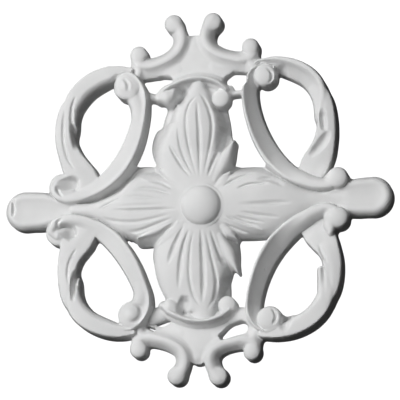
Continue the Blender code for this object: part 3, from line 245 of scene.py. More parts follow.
# Carvings, drawn where they lie: (line of (x, z, half width), depth as a share of its kind's depth)
FLUTES = (
    (((-11.3, 24.2, 0.8), (-9.2, 20.2, 1.1), (-6.3, 15.3, 1.2), (-2.5, 9.6, 0.7)), 1.2),
    (((-7.6, 31.9, 0.7), (-6.6, 24.0, 1.0), (-4.6, 17.4, 0.9), (-1.2, 10.4, 0.5)), 0.9),
    (((0.5, 44.5, 0.6), (-2.7, 40.7, 0.8), (-4.1, 33.9, 0.9), (-2.8, 23.0, 0.9), (0.5, 9.4, 0.5)), 0.8),
    (((0.9, 42.3, 0.7), (1.3, 34.9, 1.0), (1.8, 25.4, 1.2), (1.8, 8.9, 0.6)), 1.1),
    (((1.8, 46.2, 0.7), (4.8, 41.2, 0.9), (7.0, 33.3, 1.0), (6.3, 23.4, 0.9), (3.5, 9.7, 0.5)), 0.9),
    (((10.3, 25.4, 1.2), (9.2, 19.8, 1.1), (7.0, 14.3, 0.9), (5.2, 9.2, 0.6)), 1.2),
    (((-5.4, -11.4, 0.7), (-8.0, -16.9, 1.4), (-10.2, -21.9, 1.6), (-12.4, -27.4, 0.9)), 1.3),
    (((-3.2, -13.2, 0.6), (-5.5, -20.0, 1.2), (-7.1, -28.5, 1.5), (-8.1, -38.3, 0.8)), 1.3),
    (((-1.1, -13.7, 0.5), (-2.7, -21.8, 0.8), (-3.3, -32.5, 1.0), (-1.9, -40.6, 1.0),
      (1.0, -46.3, 0.6)), 0.7),
    (((1.9, -13.0, 0.6), (2.4, -22.0, 1.3), (2.6, -34.9, 1.5), (1.9, -44.6, 0.8)), 1.2),
    (((4.0, -14.0, 0.5), (6.0, -24.3, 0.9), (7.8, -34.2, 1.1), (7.0, -41.9, 1.1), (4.0, -47.3, 0.6)), 1.0),
    (((6.1, -13.6, 0.6), (8.2, -20.6, 0.9), (9.8, -25.3, 1.1), (11.5, -29.2, 1.1)), 1.2),
    (((-21.0, 8.7, 0.8), (-17.1, 8.1, 1.1), (-13.3, 6.6, 1.0), (-9.9, 4.3, 0.6)), 0.8),
    (((-27.5, 5.1, 0.8), (-21.4, 5.5, 1.1), (-15.4, 4.1, 0.9), (-10.3, 2.2, 0.5)), 0.9),
    (((-32.2, 2.7, 0.6), (-24.1, 1.9, 1.1), (-12.9, 0.1, 0.6)), 0.5),
    (((-42.2, -2.5, 0.6), (-38.3, -0.5, 0.8), (-34.8, 1.1, 0.8), (-31.8, 1.8, 0.6)), 0.9),
    (((-36.1, -1.4, 0.7), (-26.3, -1.7, 1.0), (-13.4, -1.8, 0.6)), 0.4),
    (((-36.6, -3.1, 0.8), (-26.3, -4.0, 1.3), (-17.7, -4.2, 1.3), (-8.3, -4.0, 0.6)), 1.1),
    (((-40.9, -6.0, 0.7), (-35.8, -7.7, 1.0), (-28.5, -8.7, 1.0), (-20.7, -8.2, 1.0),
      (-10.4, -6.0, 0.5)), 0.9),
    (((-29.8, -12.5, 0.8), (-24.7, -12.5, 1.0), (-17.8, -10.4, 1.0), (-10.0, -7.8, 0.5)), 0.9),
    (((-21.3, -16.7, 1.4), (-16.5, -15.0, 1.6), (-12.6, -12.4, 1.4), (-7.9, -9.1, 0.7)), 1.3),
    (((11.5, 4.6, 0.6), (15.9, 7.4, 1.0), (21.0, 9.4, 1.0), (26.6, 10.4, 0.7)), 1.4),
    (((17.5, 3.5, 0.6), (21.8, 5.0, 0.9), (26.5, 5.4, 0.9), (31.6, 5.4, 0.6)), 1.3),
    (((25.7, 7.2, 0.9), (30.4, 7.6, 1.6), (34.2, 6.2, 1.6), (37.5, 4.3, 1.0)), 1.4),
    (((17.8, -3.0, 0.7), (26.3, -3.4, 1.4), (33.6, -3.2, 1.4), (40.8, -3.1, 0.7)), 0.9),
    (((18.6, -6.4, 0.6), (25.8, -8.0, 1.0), (35.6, -9.3, 0.6)), 0.9),
    (((16.5, -8.1, 0.6), (22.0, -9.8, 0.9), (29.2, -11.2, 0.6)), 1.1),
    (((12.6, -7.9, 0.6), (17.3, -9.8, 0.9), (21.9, -11.5, 1.0), (27.0, -12.8, 0.7)), 1.3),
    (((11.7, -10.9, 0.5), (16.4, -13.2, 0.8), (23.2, -15.6, 0.6)), 1.2))
HOLLOWS = (
    (((-6.9, 50.0, 2.2), (-6.1, 45.6, 3.4), (-6.9, 40.6, 2.2)), 0.7),
    (((-5.2, -41.0, 2.0), (-6.2, -45.3, 3.2), (-8.0, -49.4, 2.2)), 0.7),
    (((36.4, 57.0, 1.8), (37.4, 53.6, 2.8), (36.4, 49.6, 2.0)), 0.4),
    (((36.4, -49.0, 1.8), (37.2, -53.4, 2.8), (36.0, -58.0, 2.0)), 0.5),
    (((-53.6, 35.6, 1.0), (-52.3, 30.2, 2.2), (-51.3, 23.6, 1.8)), 0.8),
    (((-53.4, -42.0, 1.0), (-53.4, -36.0, 1.4), (-52.4, -30.4, 1.8), (-50.0, -27.6, 1.6)), 0.8),
    (((-59.9, 8.8, 2.0), (-56.6, 9.2, 3.0), (-53.5, 9.5, 3.4), (-50.5, 9.4, 2.4)), 1.5),
    (((-60.0, -9.9, 2.0), (-56.7, -10.7, 3.2), (-54.6, -12.1, 3.6), (-53.3, -14.8, 2.4)), 1.5),
    (((54.4, 36.8, 1.2), (54.6, 31.1, 1.8), (55.2, 26.8, 1.2)), 0.5),
    (((56.9, 27.4, 1.4), (53.8, 21.9, 2.6), (48.2, 17.0, 1.4)), 0.4))
GROOVES = (
    (((-51.4, 47.2, 0.6), (-52.9, 42.9, 0.9), (-53.6, 37.7, 1.1), (-53.3, 31.5, 1.3)), 1.1),
    (((-56.4, 41.3, 0.6), (-57.1, 34.3, 0.8), (-57.0, 27.4, 0.9), (-55.5, 20.8, 0.9),
      (-52.5, 15.0, 0.7)), 1.0),
    (((-30.8, 53.8, 0.8), (-28.6, 51.1, 1.2), (-28.7, 47.6, 1.2)), 0.9),
    (((-31.2, 55.8, 0.8), (-34.4, 54.4, 1.1), (-35.1, 50.5, 1.1), (-33.4, 47.0, 0.8)), 0.9),
    (((-60.4, 8.8, 0.7), (-59.6, 5.9, 1.0), (-57.4, 3.5, 0.7)), 1.2),
    (((-51.9, -18.8, 0.6), (-54.5, -23.4, 0.9), (-55.6, -28.5, 0.9), (-55.5, -34.1, 0.6)), 1.0),
    (((-27.9, -43.5, 0.8), (-24.9, -45.3, 1.3), (-24.1, -48.4, 1.5), (-25.8, -50.8, 1.3),
      (-28.8, -51.6, 0.8)), 1.3),
    (((-57.6, -5.4, 0.7), (-60.0, -7.5, 1.0), (-59.8, -10.6, 0.7)), 1.2),
    (((30.8, 55.1, 0.6), (32.9, 53.2, 0.9), (33.1, 50.6, 0.9), (31.6, 48.5, 0.5)), 1.3),
    (((31.2, -48.0, 0.6), (32.8, -50.2, 0.9), (33.0, -52.7, 1.0), (31.5, -55.2, 0.6)), 1.3),
    (((51.4, -21.0, 0.8), (53.0, -25.4, 1.2), (55.0, -30.1, 0.8)), 0.8),
    (((-79.7, 4.2, 0.8), (-79.2, 0.3, 1.1), (-79.7, -4.1, 0.8)), 1.3))
# The lower right scroll's own forms, (x, z, half width): the blunt end of its tongue, the claw below its curl
# and the low shelf inside its band
BLUNT_TONGUE = ((52.0, -32.1, 1.6), (52.1, -38.5, 1.8), (52.6, -44.9, 2.0))
CLAW = ((57.0, -9.6, 3.4), (56.6, -13.4, 3.0), (56.6, -16.6, 1.6))
LOWER_SHELF = ((34.0, -53.6, 2.8), (39.0, -53.4, 3.0), (44.6, -51.6, 2.0))
# The tips of the left scrolls' curls, which run down into their hollows, (x, z, half width, share of height)
CURL_TIPS = (
    ((-60.1, 9.4, 2.4, 0.9), (-57.5, 9.5, 3.4, 0.76), (-54.4, 9.3, 3.8, 0.56), (-51.1, 9.1, 3.0, 0.36)),
    ((-59.8, -12.6, 2.4, 0.9), (-57.6, -12.4, 3.4, 0.78), (-55.0, -12.6, 3.8, 0.56),
      (-52.6, -13.8, 3.0, 0.36)))

# Small marks of casting and handling, drawn where they lie: (x, z, radius, depth). A negative depth stands
# proud.
BLEMISHES = ((28.4, -30.6, 0.50, 0.55), (28.8, 27.6, 0.45, -0.20), (-21.4, -20.6, 0.55, 0.40))

# How the mesh is made
GRID = 0.40
SHEET_MARGIN = 5.0
SNAP_SHARE = 0.32
FACE_BUDGET = 185000
LEAST_HEIGHT = 1.0
LEAST_STEEPNESS = 0.25
SHARP_ANGLE = 60

# The primer: the two tones of its cloudiness and its tooth; and painted shade, which darkens the tone in
# recesses and at wall feet, with slight painted light on raised edges
PALE_PRIMER = (0.865, 0.866, 0.864, 1.0)
DULL_PRIMER = (0.765, 0.769, 0.769, 1.0)
CLOUD_SCALE = 55.0
CLOUD_DETAIL = 4.0
CLOUD_EDGES = (0.30, 0.70)
ROUGHNESS_RANGE = (0.52, 0.68)
SPECULAR_LEVEL = 0.35
TOOTH_SCALE = 900.0
TOOTH_DETAIL = 3.0
TOOTH_STRENGTH = 0.10
TOOTH_DISTANCE = 0.0002
RECESS_REACH = 4
RECESS_RANGE = (-0.9, 2.4)
# Painted light on raised edges and painted shade in recesses, as scales of the primer's tone
PAINTED_LIGHT_AND_SHADE_TONES = (1.04, 0.78)
# Painted shade at the feet of the walls: the depth that the back's vertices are given
WALL_FOOT_SHADE_DEPTH = 2.4
LEAST_COVER = 1e-6

# The studio: lamps as (name, degrees to the right, degrees up, distance, size, power), metres and watts
LAMPS = (("key light", -29.0, 13.0, 1.5, 1.0, 21.6), ("fill light", 0.0, 0.0, 2.2, 1.2, 1.4),
         ("back light", 180.0, 0.0, 2.4, 0.4, 16.0))
AIR_GLOW = 0.03
WHITE = (1.0, 1.0, 1.0, 1.0)
FLOOR_GREY = (0.86, 0.86, 0.86, 1.0)
STUDIO_ROUGHNESS = 0.9
ROOM = 14.0
FLOOR_LEVEL = -0.40
FLOOR_GLOW = 0.55
BACKDROP_AWAY = 3.2
BACKDROP_GLOW = 1.0
CAMERA_TURN = (9.0, 11.0, 0.8)
CAMERA_DISTANCE = 1.65
CAMERA_VIEW = 0.17007
CAMERA_SHIFT = (-0.00125, 0.010)
CAMERA_REACH = 20.0
SENSOR = 36.0


def place(x, z):
    """Carries a drawn point to the casting's own size."""
    return x * WIDTH / (2 * DRAWN_HALF_WIDTH), z * HEIGHT / (2 * DRAWN_HALF_HEIGHT)


def drifted(x, z):
    """Moves a drawn point by the hand's drift near it."""
    weights = [math.exp(-((x - ax) ** 2 + (z - az) ** 2) / (2 * DRIFT_REACH**2)) for (ax, az), _ in DRIFT]
    total = sum(weights) + DRIFT_REST
    return (
        x + sum(w * move[0] for w, (_, move) in zip(weights, DRIFT)) / total,
        z + sum(w * move[1] for w, (_, move) in zip(weights, DRIFT)) / total,
    )


def spot(point, sx, sz):
    """A point of the quarter drawing, in the quarter with signs sx and sz."""
    return place(*drifted(sx * point[0], sz * point[1]))


def smooth_through(values, count):
    """Rows through which a smooth curve runs, and count rows of it between each two of them."""
    rows = np.asarray(values, float)
    padded = np.vstack([2 * rows[0] - rows[1], rows, 2 * rows[-1] - rows[-2]])
    found = [rows[0]]
    for before, start, end, after in zip(padded, padded[1:], padded[2:], padded[3:]):
        for step in range(1, count + 1):
            t = step / count
            found.append(
                0.5 * (2 * start + (end - before) * t + (2 * before - 5 * start + 4 * end - after) * t**2
                       + (3 * start - before - 3 * end + after) * t**3)
            )
    return np.array(found)


def share_across(section, across):
    """The section's share of height at a place across, on a smooth curve through its points."""
    fine = smooth_through(section, ROWS_BETWEEN_SECTION_POINTS)
    return np.interp(np.clip(across, -1, 1), fine[:, 0], fine[:, 1])


class Relief:
    """The outline and the front of the casting, sampled at a set of points of the wall plane."""

    def __init__(self, points):
        self.points = points
        self.inside = np.full(len(points), FAR_OUTSIDE)
        self.height = np.zeros(len(points))

    def near(self, low, high):
        """The points in a box and a little around it."""
        x, z = self.points[:, 0], self.points[:, 1]
        return np.flatnonzero(
            (x > low[0] - SEARCH_REACH) & (x < high[0] + SEARCH_REACH)
            & (z > low[1] - SEARCH_REACH) & (z < high[1] + SEARCH_REACH)
        )

    def join(self, chosen, inside, height, fall=WALL_SLOPE, draft=0.0):
        """Adds a member, whose height falls away outwards from its draft line, mostly as steep as walls."""
        height = height + fall * np.minimum(inside - draft, 0)
        for values, new in ((self.inside, inside), (self.height, height)):
            old = values[chosen]
            melt = np.maximum(FILLET - np.abs(old - new), 0) / FILLET
            values[chosen] = np.maximum(old, new) + melt**2 * FILLET / 4

    def follow(self, line, widest):
        """The points near a line, how far they lie from it, on which side, and the line's values there."""
        chosen = self.near(line[:, :2].min(0) - widest, line[:, :2].max(0) + widest)
        return (chosen, *along_line(self.points[chosen], line))

    def carve(self, stations, depth):
        """Cuts a soft groove, of rows (x, z, half width), which runs out at both ends."""
        line = with_share(smooth_through(stations, ROWS_BETWEEN_STATIONS))
        chosen, distance, _, carried = self.follow(line, line[:, 2].max())
        half, share = np.maximum(carried[:, 0], LEAST_HALF_WIDTH), carried[:, 1]
        fade = np.clip(np.minimum(share, 1 - share) / RUN_OUT_SHARE, 0, 1)
        self.height[chosen] -= depth * fade * np.clip(1 - (distance / half) ** 2, 0, 1) ** CUTTER_ROUNDNESS

    def pierce(self, stations):
        """Opens a hole through the casting along rows (x, z, half width)."""
        line = smooth_through(stations, ROWS_BETWEEN_STATIONS)
        chosen, distance, _, carried = self.follow(line, line[:, 2].max())
        edge = carried[:, 0] - distance
        self.inside[chosen] = np.minimum(self.inside[chosen], -edge)
        self.height[chosen] = np.minimum(self.height[chosen], PIT_HEIGHT - WALL_SLOPE * edge)


def with_share(line):
    """Adds a column to a line: how far along it each row lies, from 0 to 1."""
    return np.column_stack([line, np.linspace(0, 1, len(line))])


def along_line(points, line):
    """For each point: distance to the line, its side (1 on the left), and the line's other columns there."""
    best = np.full(len(points), np.inf)
    side = np.ones(len(points))
    carried = np.zeros((len(points), line.shape[1] - 2))
    for start, end in zip(line, line[1:]):
        run = end[:2] - start[:2]
        offset = points - start[:2]
        share = np.clip(offset @ run / max(run @ run, TINY_RUN), 0, 1)
        away = offset - share[:, None] * run
        distance = np.hypot(away[:, 0], away[:, 1])
        closer = distance < best
        best[closer] = distance[closer]
        side[closer] = np.where(run[0] * offset[:, 1] - run[1] * offset[:, 0] >= 0, 1.0, -1.0)[closer]
        carried[closer] = (start[2:] + share[:, None] * (end[2:] - start[2:]))[closer]
    return best, side, carried


def add_member(relief, stations, section, end_section=None, mirror=1, turns_at=(0.0, 1.0), fall=WALL_SLOPE,
               draft=0.0):
    """A member with rows (x, z, half width, height); between two shares it takes on its end section."""
    line = with_share(smooth_through(stations, ROWS_BETWEEN_STATIONS))
    chosen, distance, side, carried = relief.follow(line, line[:, 2].max())
    if not len(chosen):
        return
    half, height, share = np.maximum(carried[:, 0], LEAST_HALF_WIDTH), carried[:, 1], carried[:, 2]
    across = side * mirror * distance / half
    profile = share_across(section, across)
    if end_section:
        turned = np.clip((share - turns_at[0]) / (turns_at[1] - turns_at[0]), 0, 1)
        profile = profile * (1 - turned) + share_across(end_section, across) * turned
    relief.join(chosen, half - distance, height * profile, fall, draft)


def add_dome(relief, centre, radius, height, shoulder):
    """A round knob: a dome whose edge stands at a share of its height."""
    centre = np.array(centre)
    chosen = relief.near(centre - radius, centre + radius)
    distance = np.hypot(*(relief.points[chosen] - centre).T)
    rise = np.sqrt(np.clip(1 - (distance / radius) ** 2, 0, 1))
    relief.join(chosen, radius - distance, height * (shoulder + (1 - shoulder) * rise))


def quarter(stations, sx, sz, width, height):
    """One quarter's stations, mirrored, drifted and brought to size."""
    return [(*spot((x, z), sx, sz), 0.5 * width * w, height * h) for x, z, w, h in stations]


def add_quarter(relief, sx, sz):
    """One scroll with its leaf, its volutes and its half of a crown."""
    turned = sx * sz
    left = sx < 0
    if left:
        add_dome(relief, spot(BASE_KNOB, sx, sz), PIT_RADIUS, PIT_RIM_HEIGHT, SHALLOW_DOME)
    else:
        add_dome(relief, place(*RIGHT_FILL[sz]), RIGHT_FILL_RADIUS, RIGHT_FILL_HEIGHT, SHALLOW_DOME)
    leaf = quarter(LEAF, sx, sz, LEAF_WIDTH, LEAF_HEIGHT)
    if not left:
        rising = [(x, z, half, h * rise) for (x, z, half, h), rise in zip(leaf, LEAF_RISE_RIGHT)]
        leaf = rising + leaf[len(rising):]
    add_member(relief, leaf, LEAF_SECTION, mirror=turned, draft=EDGE_DRAFT)
    band = quarter(BAND, sx, sz, BAND_WIDTH, BAND_HEIGHT)
    section = UPPER_RIGHT_BAND_SECTION if sx > 0 and sz > 0 else BAND_SECTION
    add_member(relief, band, section, TONGUE_SECTION, turned, TONGUE_TURNS, draft=EDGE_DRAFT)
    limb = quarter(LIMB, sx, sz, LIMB_WIDTH, LIMB_HEIGHT)
    if left:
        limb = quarter(LIMB_TIP, sx, sz, LIMB_WIDTH, LIMB_HEIGHT) + limb
    else:
        width, height = BULB_LIMB_ROW
        bulb = place(*BULBS[sz])
        limb = [(*bulb, 0.5 * LIMB_WIDTH * width, LIMB_HEIGHT * height)] + limb
    section = LEFT_LIMB_SECTION if left else LIMB_SECTION
    curl_turns = (CURL_SHARE, 2 * CURL_SHARE)
    add_member(relief, limb, CURL_SECTION, section, turned, curl_turns, draft=EDGE_DRAFT)
    x, z, share = VOLUTES[sx, sz]
    add_dome(relief, place(x, z), share * VOLUTE_RADIUS, VOLUTE_HEIGHT, VOLUTE_SHOULDER)
    if left:
        add_member(relief, quarter(VOLUTE_NECK, sx, sz, LIMB_WIDTH, LIMB_HEIGHT), ROUND_SECTION)
        add_dome(relief, place(x, z), EYE_RADIUS, EYE_HEIGHT, EYE_SHOULDER)
    else:
        add_dome(relief, bulb, BULB_RADIUS, BULB_HEIGHT, BULB_SHOULDER)
    drop = [(*spot(point, sx, sz), DROP_HALF_WIDTH, DROP_SHARE * WEB_HEIGHT) for point in DROP_BAND]
    add_member(relief, drop, WEB_SECTION)
    for stations in (CROWN_FOOT, CROWN):
        crown = quarter(stations, sx, sz, CROWN_WIDTH, CROWN_HEIGHT)
        add_member(relief, crown, CROWN_SECTION, mirror=turned, fall=CROWN_FALL)
    add_dome(relief, spot(INNER_KNOB, sx, sz), INNER_KNOB_SHARE * KNOB_RADIUS, KNOB_HEIGHT, KNOB_SHOULDER)
    add_dome(relief, spot(OUTER_KNOB, sx, sz), KNOB_RADIUS, KNOB_HEIGHT, KNOB_SHOULDER)


def add_crown_web(relief, sz):
    """The low web between the two halves of a crown."""
    stations = [(*spot((0, z), 1, sz), 0.5 * w, WEB_HEIGHT * h) for z, w, h in CROWN_WEB]
    add_member(relief, stations, WEB_SECTION)


def add_collar(relief, sz):
    """The arc under a crown, its low backing, and the leaf and the ball at its ends."""
    stations = [(*place(*drifted(x, sz * z)), 0.5 * COLLAR_WIDTH * w, COLLAR_HEIGHT * h)
                for x, z, w, h in COLLAR]
    backing = [(x, z, BACKING_HALF_WIDTH, BACKING_SHARE * h) for x, z, _, h in stations]
    add_member(relief, backing, WEB_SECTION)
    add_member(relief, stations, ROUND_SECTION)
    ball_height = COLLAR_BALL_SHARE * COLLAR_HEIGHT
    add_dome(relief, place(*COLLAR_BALL[sz]), COLLAR_BALL_RADIUS, ball_height, BULB_SHOULDER)
    leaf = [(*place(x, sz * z), w, COLLAR_HEIGHT * h) for x, z, w, h in COLLAR_LEAF]
    add_member(relief, leaf, ROUND_SECTION)


def add_links(relief):
    """The small bridges between the collars and the scrolls."""
    for ends, width in LINKS:
        stations = [(*place(x, z), 0.5 * LINK_WIDTH * width, LINK_HEIGHT) for x, z in ends]
        add_member(relief, stations, ROUND_SECTION)


def add_petal(relief, skirt, front):
    """A petal: its low skirt and its front."""
    add_member(relief, [(*place(x, z), half, SKIRT_HEIGHT) for x, z, half in skirt], SKIRT_SECTION)
    rows = [(*place(x, z), half, PETAL_HEIGHT * h) for x, z, half, h in front]
    add_member(relief, rows, PETAL_SECTION, fall=PETAL_FALL)


def carve_all(relief, carvings, depth):
    """Cuts a table of carvings, each to its share of the depth."""
    for line, share in carvings:
        relief.carve([(*place(x, z), half) for x, z, half in line], depth * share)


def add_flower(relief):
    """The four petals, the ridges between them, their flutes and the button."""
    for skirt, front in ((UPPER_SKIRT, UPPER_FRONT), (LOWER_SKIRT, LOWER_FRONT), (LEFT_SKIRT, LEFT_FRONT),
                         (RIGHT_SKIRT, RIGHT_FRONT)):
        add_petal(relief, skirt, front)
    for start, end, half, share in RIDGES:
        height = PETAL_HEIGHT * share
        middle = [0.5 * (a + b) for a, b in zip(start, end)]
        rows = [(*place(*start), RIDGE_ROOT_WIDTH * half, height), (*place(*middle), half, height),
                (*place(*end), RIDGE_TIP_WIDTH * half, height * RIDGE_TIP_SHARE)]
        add_member(relief, rows, ROUND_SECTION, fall=PETAL_FALL)
    carve_all(relief, FLUTES, FLUTE_DEPTH)
    centre = place(*FLOWER_CENTRE)
    add_dome(relief, centre, BUTTON_RADIUS + BUTTON_SEAT, PETAL_HEIGHT, SHALLOW_DOME)
    add_dome(relief, centre, BUTTON_RADIUS, BUTTON_HEIGHT, BUTTON_SHOULDER)


def add_lobes(relief):
    """The two end lobes, each on its low neck."""
    for sx in (1, -1):
        for rows, section in ((NECK, WEB_SECTION), (LOBE, DISH_SECTION)):
            stations = [(*place(sx * x, LOBE_LEVEL), 0.5 * LOBE_WIDTH * w, LOBE_HEIGHT * h)
                        for x, w, h in rows]
            add_member(relief, stations, section)


def relief_at(points):
    """The whole casting at these points of the wall plane."""
    relief = Relief(points)
    for sz in (1, -1):
        add_crown_web(relief, sz)
    add_lobes(relief)
    add_flower(relief)
    for sx in (-1, 1):
        for sz in (1, -1):
            add_quarter(relief, sx, sz)
    for sz in (1, -1):
        add_collar(relief, sz)
    add_links(relief)
    for hole in SIDE_HOLES:
        relief.pierce([(*place(x, z), half) for x, z, half in hole])
    for rows, share in ((BLUNT_TONGUE, 1.0), (CLAW, 1.0), (LOWER_SHELF, SHELF_SHARE)):
        add_member(relief, [(*place(x, z), half, LEAF_HEIGHT * share) for x, z, half in rows], ROUND_SECTION)
    carve_all(relief, HOLLOWS, HOLLOW_DEPTH)
    for rows in CURL_TIPS:
        add_member(relief, [(*place(x, z), half, LIMB_HEIGHT * h) for x, z, half, h in rows], ROUND_SECTION)
    carve_all(relief, GROOVES, GROOVE_DEPTH)
    return relief


def sheet_nodes():
    """The square grid of the drawing sheet, row by row."""
    columns = np.arange(-0.5 * WIDTH - SHEET_MARGIN, 0.5 * WIDTH + SHEET_MARGIN, GRID)
    rows = np.arange(-0.5 * HEIGHT - SHEET_MARGIN, 0.5 * HEIGHT + SHEET_MARGIN, GRID)
    return np.meshgrid(columns, rows)


def snapped_to_outline(x, z, value):
    """Moves the grid points next to the outline onto it, so that no sliver lies along it."""
    slope_z, slope_x = np.gradient(value, GRID)
    steepness = np.maximum(slope_x**2 + slope_z**2, LEAST_STEEPNESS)
    close = np.abs(value) < SNAP_SHARE * GRID
    x = np.where(close, x - value * slope_x / steepness, x)
    z = np.where(close, z - value * slope_z / steepness, z)
    return x, z, np.where(close, 0.0, value)


def outline_cells(x, z, value):
    """The grid cut along the outline: its points, and its cells as lists of point numbers."""
    points = np.column_stack([x.ravel(), z.ravel()]).tolist()
    flat = value.ravel()
    per_row = x.shape[1]
    crossings = {}

    def crossing(a, b):
        key = (min(a, b), max(a, b))
        if key not in crossings:
            share = flat[a] / (flat[a] - flat[b])
            crossings[key] = len(points)
            points.append([points[a][k] + share * (points[b][k] - points[a][k]) for k in (0, 1)])
        return crossings[key]

    within = value >= 0
    corners = within[:-1, :-1].astype(int) + within[:-1, 1:] + within[1:, 1:] + within[1:, :-1]
    cells = []
    for row, column in np.argwhere(corners > 0):
        start = int(row * per_row + column)
        ring = (start, start + 1, start + per_row + 1, start + per_row)
        cell = []
        for a, b in zip(ring, ring[1:] + ring[:1]):
            if flat[a] >= 0:
                cell.append(a)
            if flat[a] * flat[b] < 0:
                cell.append(crossing(a, b))
        if len(cell) > 2:
            cells.append(cell)
    return np.array(points), cells


def marked(points, height):
    """The height with the small blemishes in it."""
    for x, z, radius, depth in BLEMISHES:
        distance = np.hypot(*(points - np.array(place(x, z))).T)
        height = height - depth * np.clip(1 - (distance / radius) ** 2, 0, 1)
    return height


def softened(values):
    """Values of a grid, each with its neighbours' added, which count less the further off they lie."""
    steps = np.arange(-3 * RECESS_REACH, 3 * RECESS_REACH + 1)
    weights = np.exp(-0.5 * (steps / RECESS_REACH) ** 2)
    for axis in (0, 1):
        values = np.apply_along_axis(np.convolve, axis, values, weights, mode="same")
    return values


def recess_depths(within, height):
    """How much deeper each point of the grid lies than the casting's front around it."""
    covered = np.maximum(softened(within.astype(float)), LEAST_COVER)
    around = softened(np.where(within, height, 0.0)) / covered
    return around - height


def casting_mesh():
    """The front as cells inside the outline, carried back as straight sides, and its recess depths."""
    x, z = sheet_nodes()
    relief = relief_at(np.column_stack([x.ravel(), z.ravel()]))
    value = relief.inside.reshape(x.shape) + EDGE_ROUNDING
    points, cells = outline_cells(*snapped_to_outline(x, z, value))
    used = np.unique(np.concatenate([np.array(cell) for cell in cells]))
    height = np.zeros(len(points))
    height[used] = np.maximum(marked(points[used], relief_at(points[used]).height), LEAST_HEIGHT)
    recess = recess_depths(value >= 0, relief.height.reshape(x.shape))

    sheet = bmesh.new()
    made = {n: sheet.verts.new((points[n, 0] * MM, -height[n] * MM, points[n, 1] * MM))
            for n in used.tolist()}
    for cell in cells:
        sheet.faces.new([made[n] for n in cell])
    back = bmesh.ops.extrude_face_region(sheet, geom=sheet.faces[:])
    for item in back["geom"]:
        if isinstance(item, bmesh.types.BMVert):
            item.co.y = 0.0
    bmesh.ops.triangulate(sheet, faces=sheet.faces[:], quad_method="SHORT_EDGE", ngon_method="BEAUTY")
    bmesh.ops.recalc_face_normals(sheet, faces=sheet.faces[:])
    mesh = bpy.data.meshes.new("rosette_casting")
    sheet.to_mesh(mesh)
    sheet.free()
    return mesh, recess


def note_recesses(mesh, recess):
    """Writes on each vertex how deep it lies, for the painted shade in recesses, and on those of the back the
    wall foot's depth, which paints shade at the feet of the walls.
    """
    spots = np.array([vertex.co for vertex in mesh.vertices]) / MM
    column = np.rint((spots[:, 0] + 0.5 * WIDTH + SHEET_MARGIN) / GRID).astype(int)
    row = np.rint((spots[:, 2] + 0.5 * HEIGHT + SHEET_MARGIN) / GRID).astype(int)
    depth = recess[np.clip(row, 0, recess.shape[0] - 1), np.clip(column, 0, recess.shape[1] - 1)]
    # painted shade at the feet of the walls: the back's vertices take a deep recess value
    depth = np.where(spots[:, 1] > -0.5 * LEAST_HEIGHT, WALL_FOOT_SHADE_DEPTH, depth)
    mesh.attributes.new("recess", "FLOAT", "POINT").data.foreach_set("value", depth.astype(np.float32))


def thinned(mesh, name):
    """The mesh with its face count brought down to the budget, which mostly empties the flat back."""
    obj = bpy.data.objects.new(name, mesh)
    bpy.context.scene.collection.objects.link(obj)
    modifier = obj.modifiers.new("fewer faces", "DECIMATE")
    modifier.ratio = min(1.0, FACE_BUDGET / len(mesh.polygons))
    graph = bpy.context.evaluated_depsgraph_get()
    final = bpy.data.meshes.new_from_object(obj.evaluated_get(graph))
    obj.modifiers.clear()
    obj.data = final
    return obj


def primer_with_painted_shade():
    """Factory primer on rigid urethane: off-white, matt, with a faint cloudiness and a fine tooth, its tone
    darkened by painted shade in recesses and at wall feet and lightened a little by painted light on raised
    edges.
    """
    material = bpy.data.materials.new("primed_urethane")
    material.use_nodes = True
    nodes, links = material.node_tree.nodes, material.node_tree.links
    shader = nodes["Principled BSDF"]
    shader.inputs["Metallic"].default_value = 0.0
    shader.inputs["Specular IOR Level"].default_value = SPECULAR_LEVEL
    place_on = nodes.new("ShaderNodeTexCoord")

    cloud = nodes.new("ShaderNodeTexNoise")
    cloud.inputs["Scale"].default_value = CLOUD_SCALE
    cloud.inputs["Detail"].default_value = CLOUD_DETAIL
    links.new(place_on.outputs["Object"], cloud.inputs["Vector"])
    tone = nodes.new("ShaderNodeValToRGB")
    for element, position, colour in zip(tone.color_ramp.elements, CLOUD_EDGES, (DULL_PRIMER, PALE_PRIMER)):
        element.position = position
        element.color = colour
    links.new(cloud.outputs["Fac"], tone.inputs["Fac"])
    # painted shade: the tone is scaled down where a point lies deep in a recess or at a wall foot, and up a
    # little on raised edges
    depth = nodes.new("ShaderNodeAttribute")
    depth.attribute_name = "recess"
    share = nodes.new("ShaderNodeMapRange")
    share.inputs["From Min"].default_value, share.inputs["From Max"].default_value = RECESS_RANGE
    share.inputs["To Min"].default_value, share.inputs["To Max"].default_value = PAINTED_LIGHT_AND_SHADE_TONES
    links.new(depth.outputs["Fac"], share.inputs["Value"])
    painted_shade_tone = nodes.new("ShaderNodeVectorMath")
    painted_shade_tone.operation = "SCALE"
    links.new(tone.outputs["Color"], painted_shade_tone.inputs[0])
    links.new(share.outputs["Result"], painted_shade_tone.inputs["Scale"])
    links.new(painted_shade_tone.outputs["Vector"], shader.inputs["Base Color"])

    sheen = nodes.new("ShaderNodeMapRange")
    sheen.inputs["To Min"].default_value, sheen.inputs["To Max"].default_value = ROUGHNESS_RANGE
    links.new(cloud.outputs["Fac"], sheen.inputs["Value"])
    links.new(sheen.outputs["Result"], shader.inputs["Roughness"])

    grain = nodes.new("ShaderNodeTexNoise")
    grain.inputs["Scale"].default_value = TOOTH_SCALE
    grain.inputs["Detail"].default_value = TOOTH_DETAIL
    links.new(place_on.outputs["Object"], grain.inputs["Vector"])
    tooth = nodes.new("ShaderNodeBump")
    tooth.inputs["Strength"].default_value = TOOTH_STRENGTH
    tooth.inputs["Distance"].default_value = TOOTH_DISTANCE
    links.new(grain.outputs["Fac"], tooth.inputs["Height"])
    links.new(tooth.outputs["Normal"], shader.inputs["Normal"])
    return material


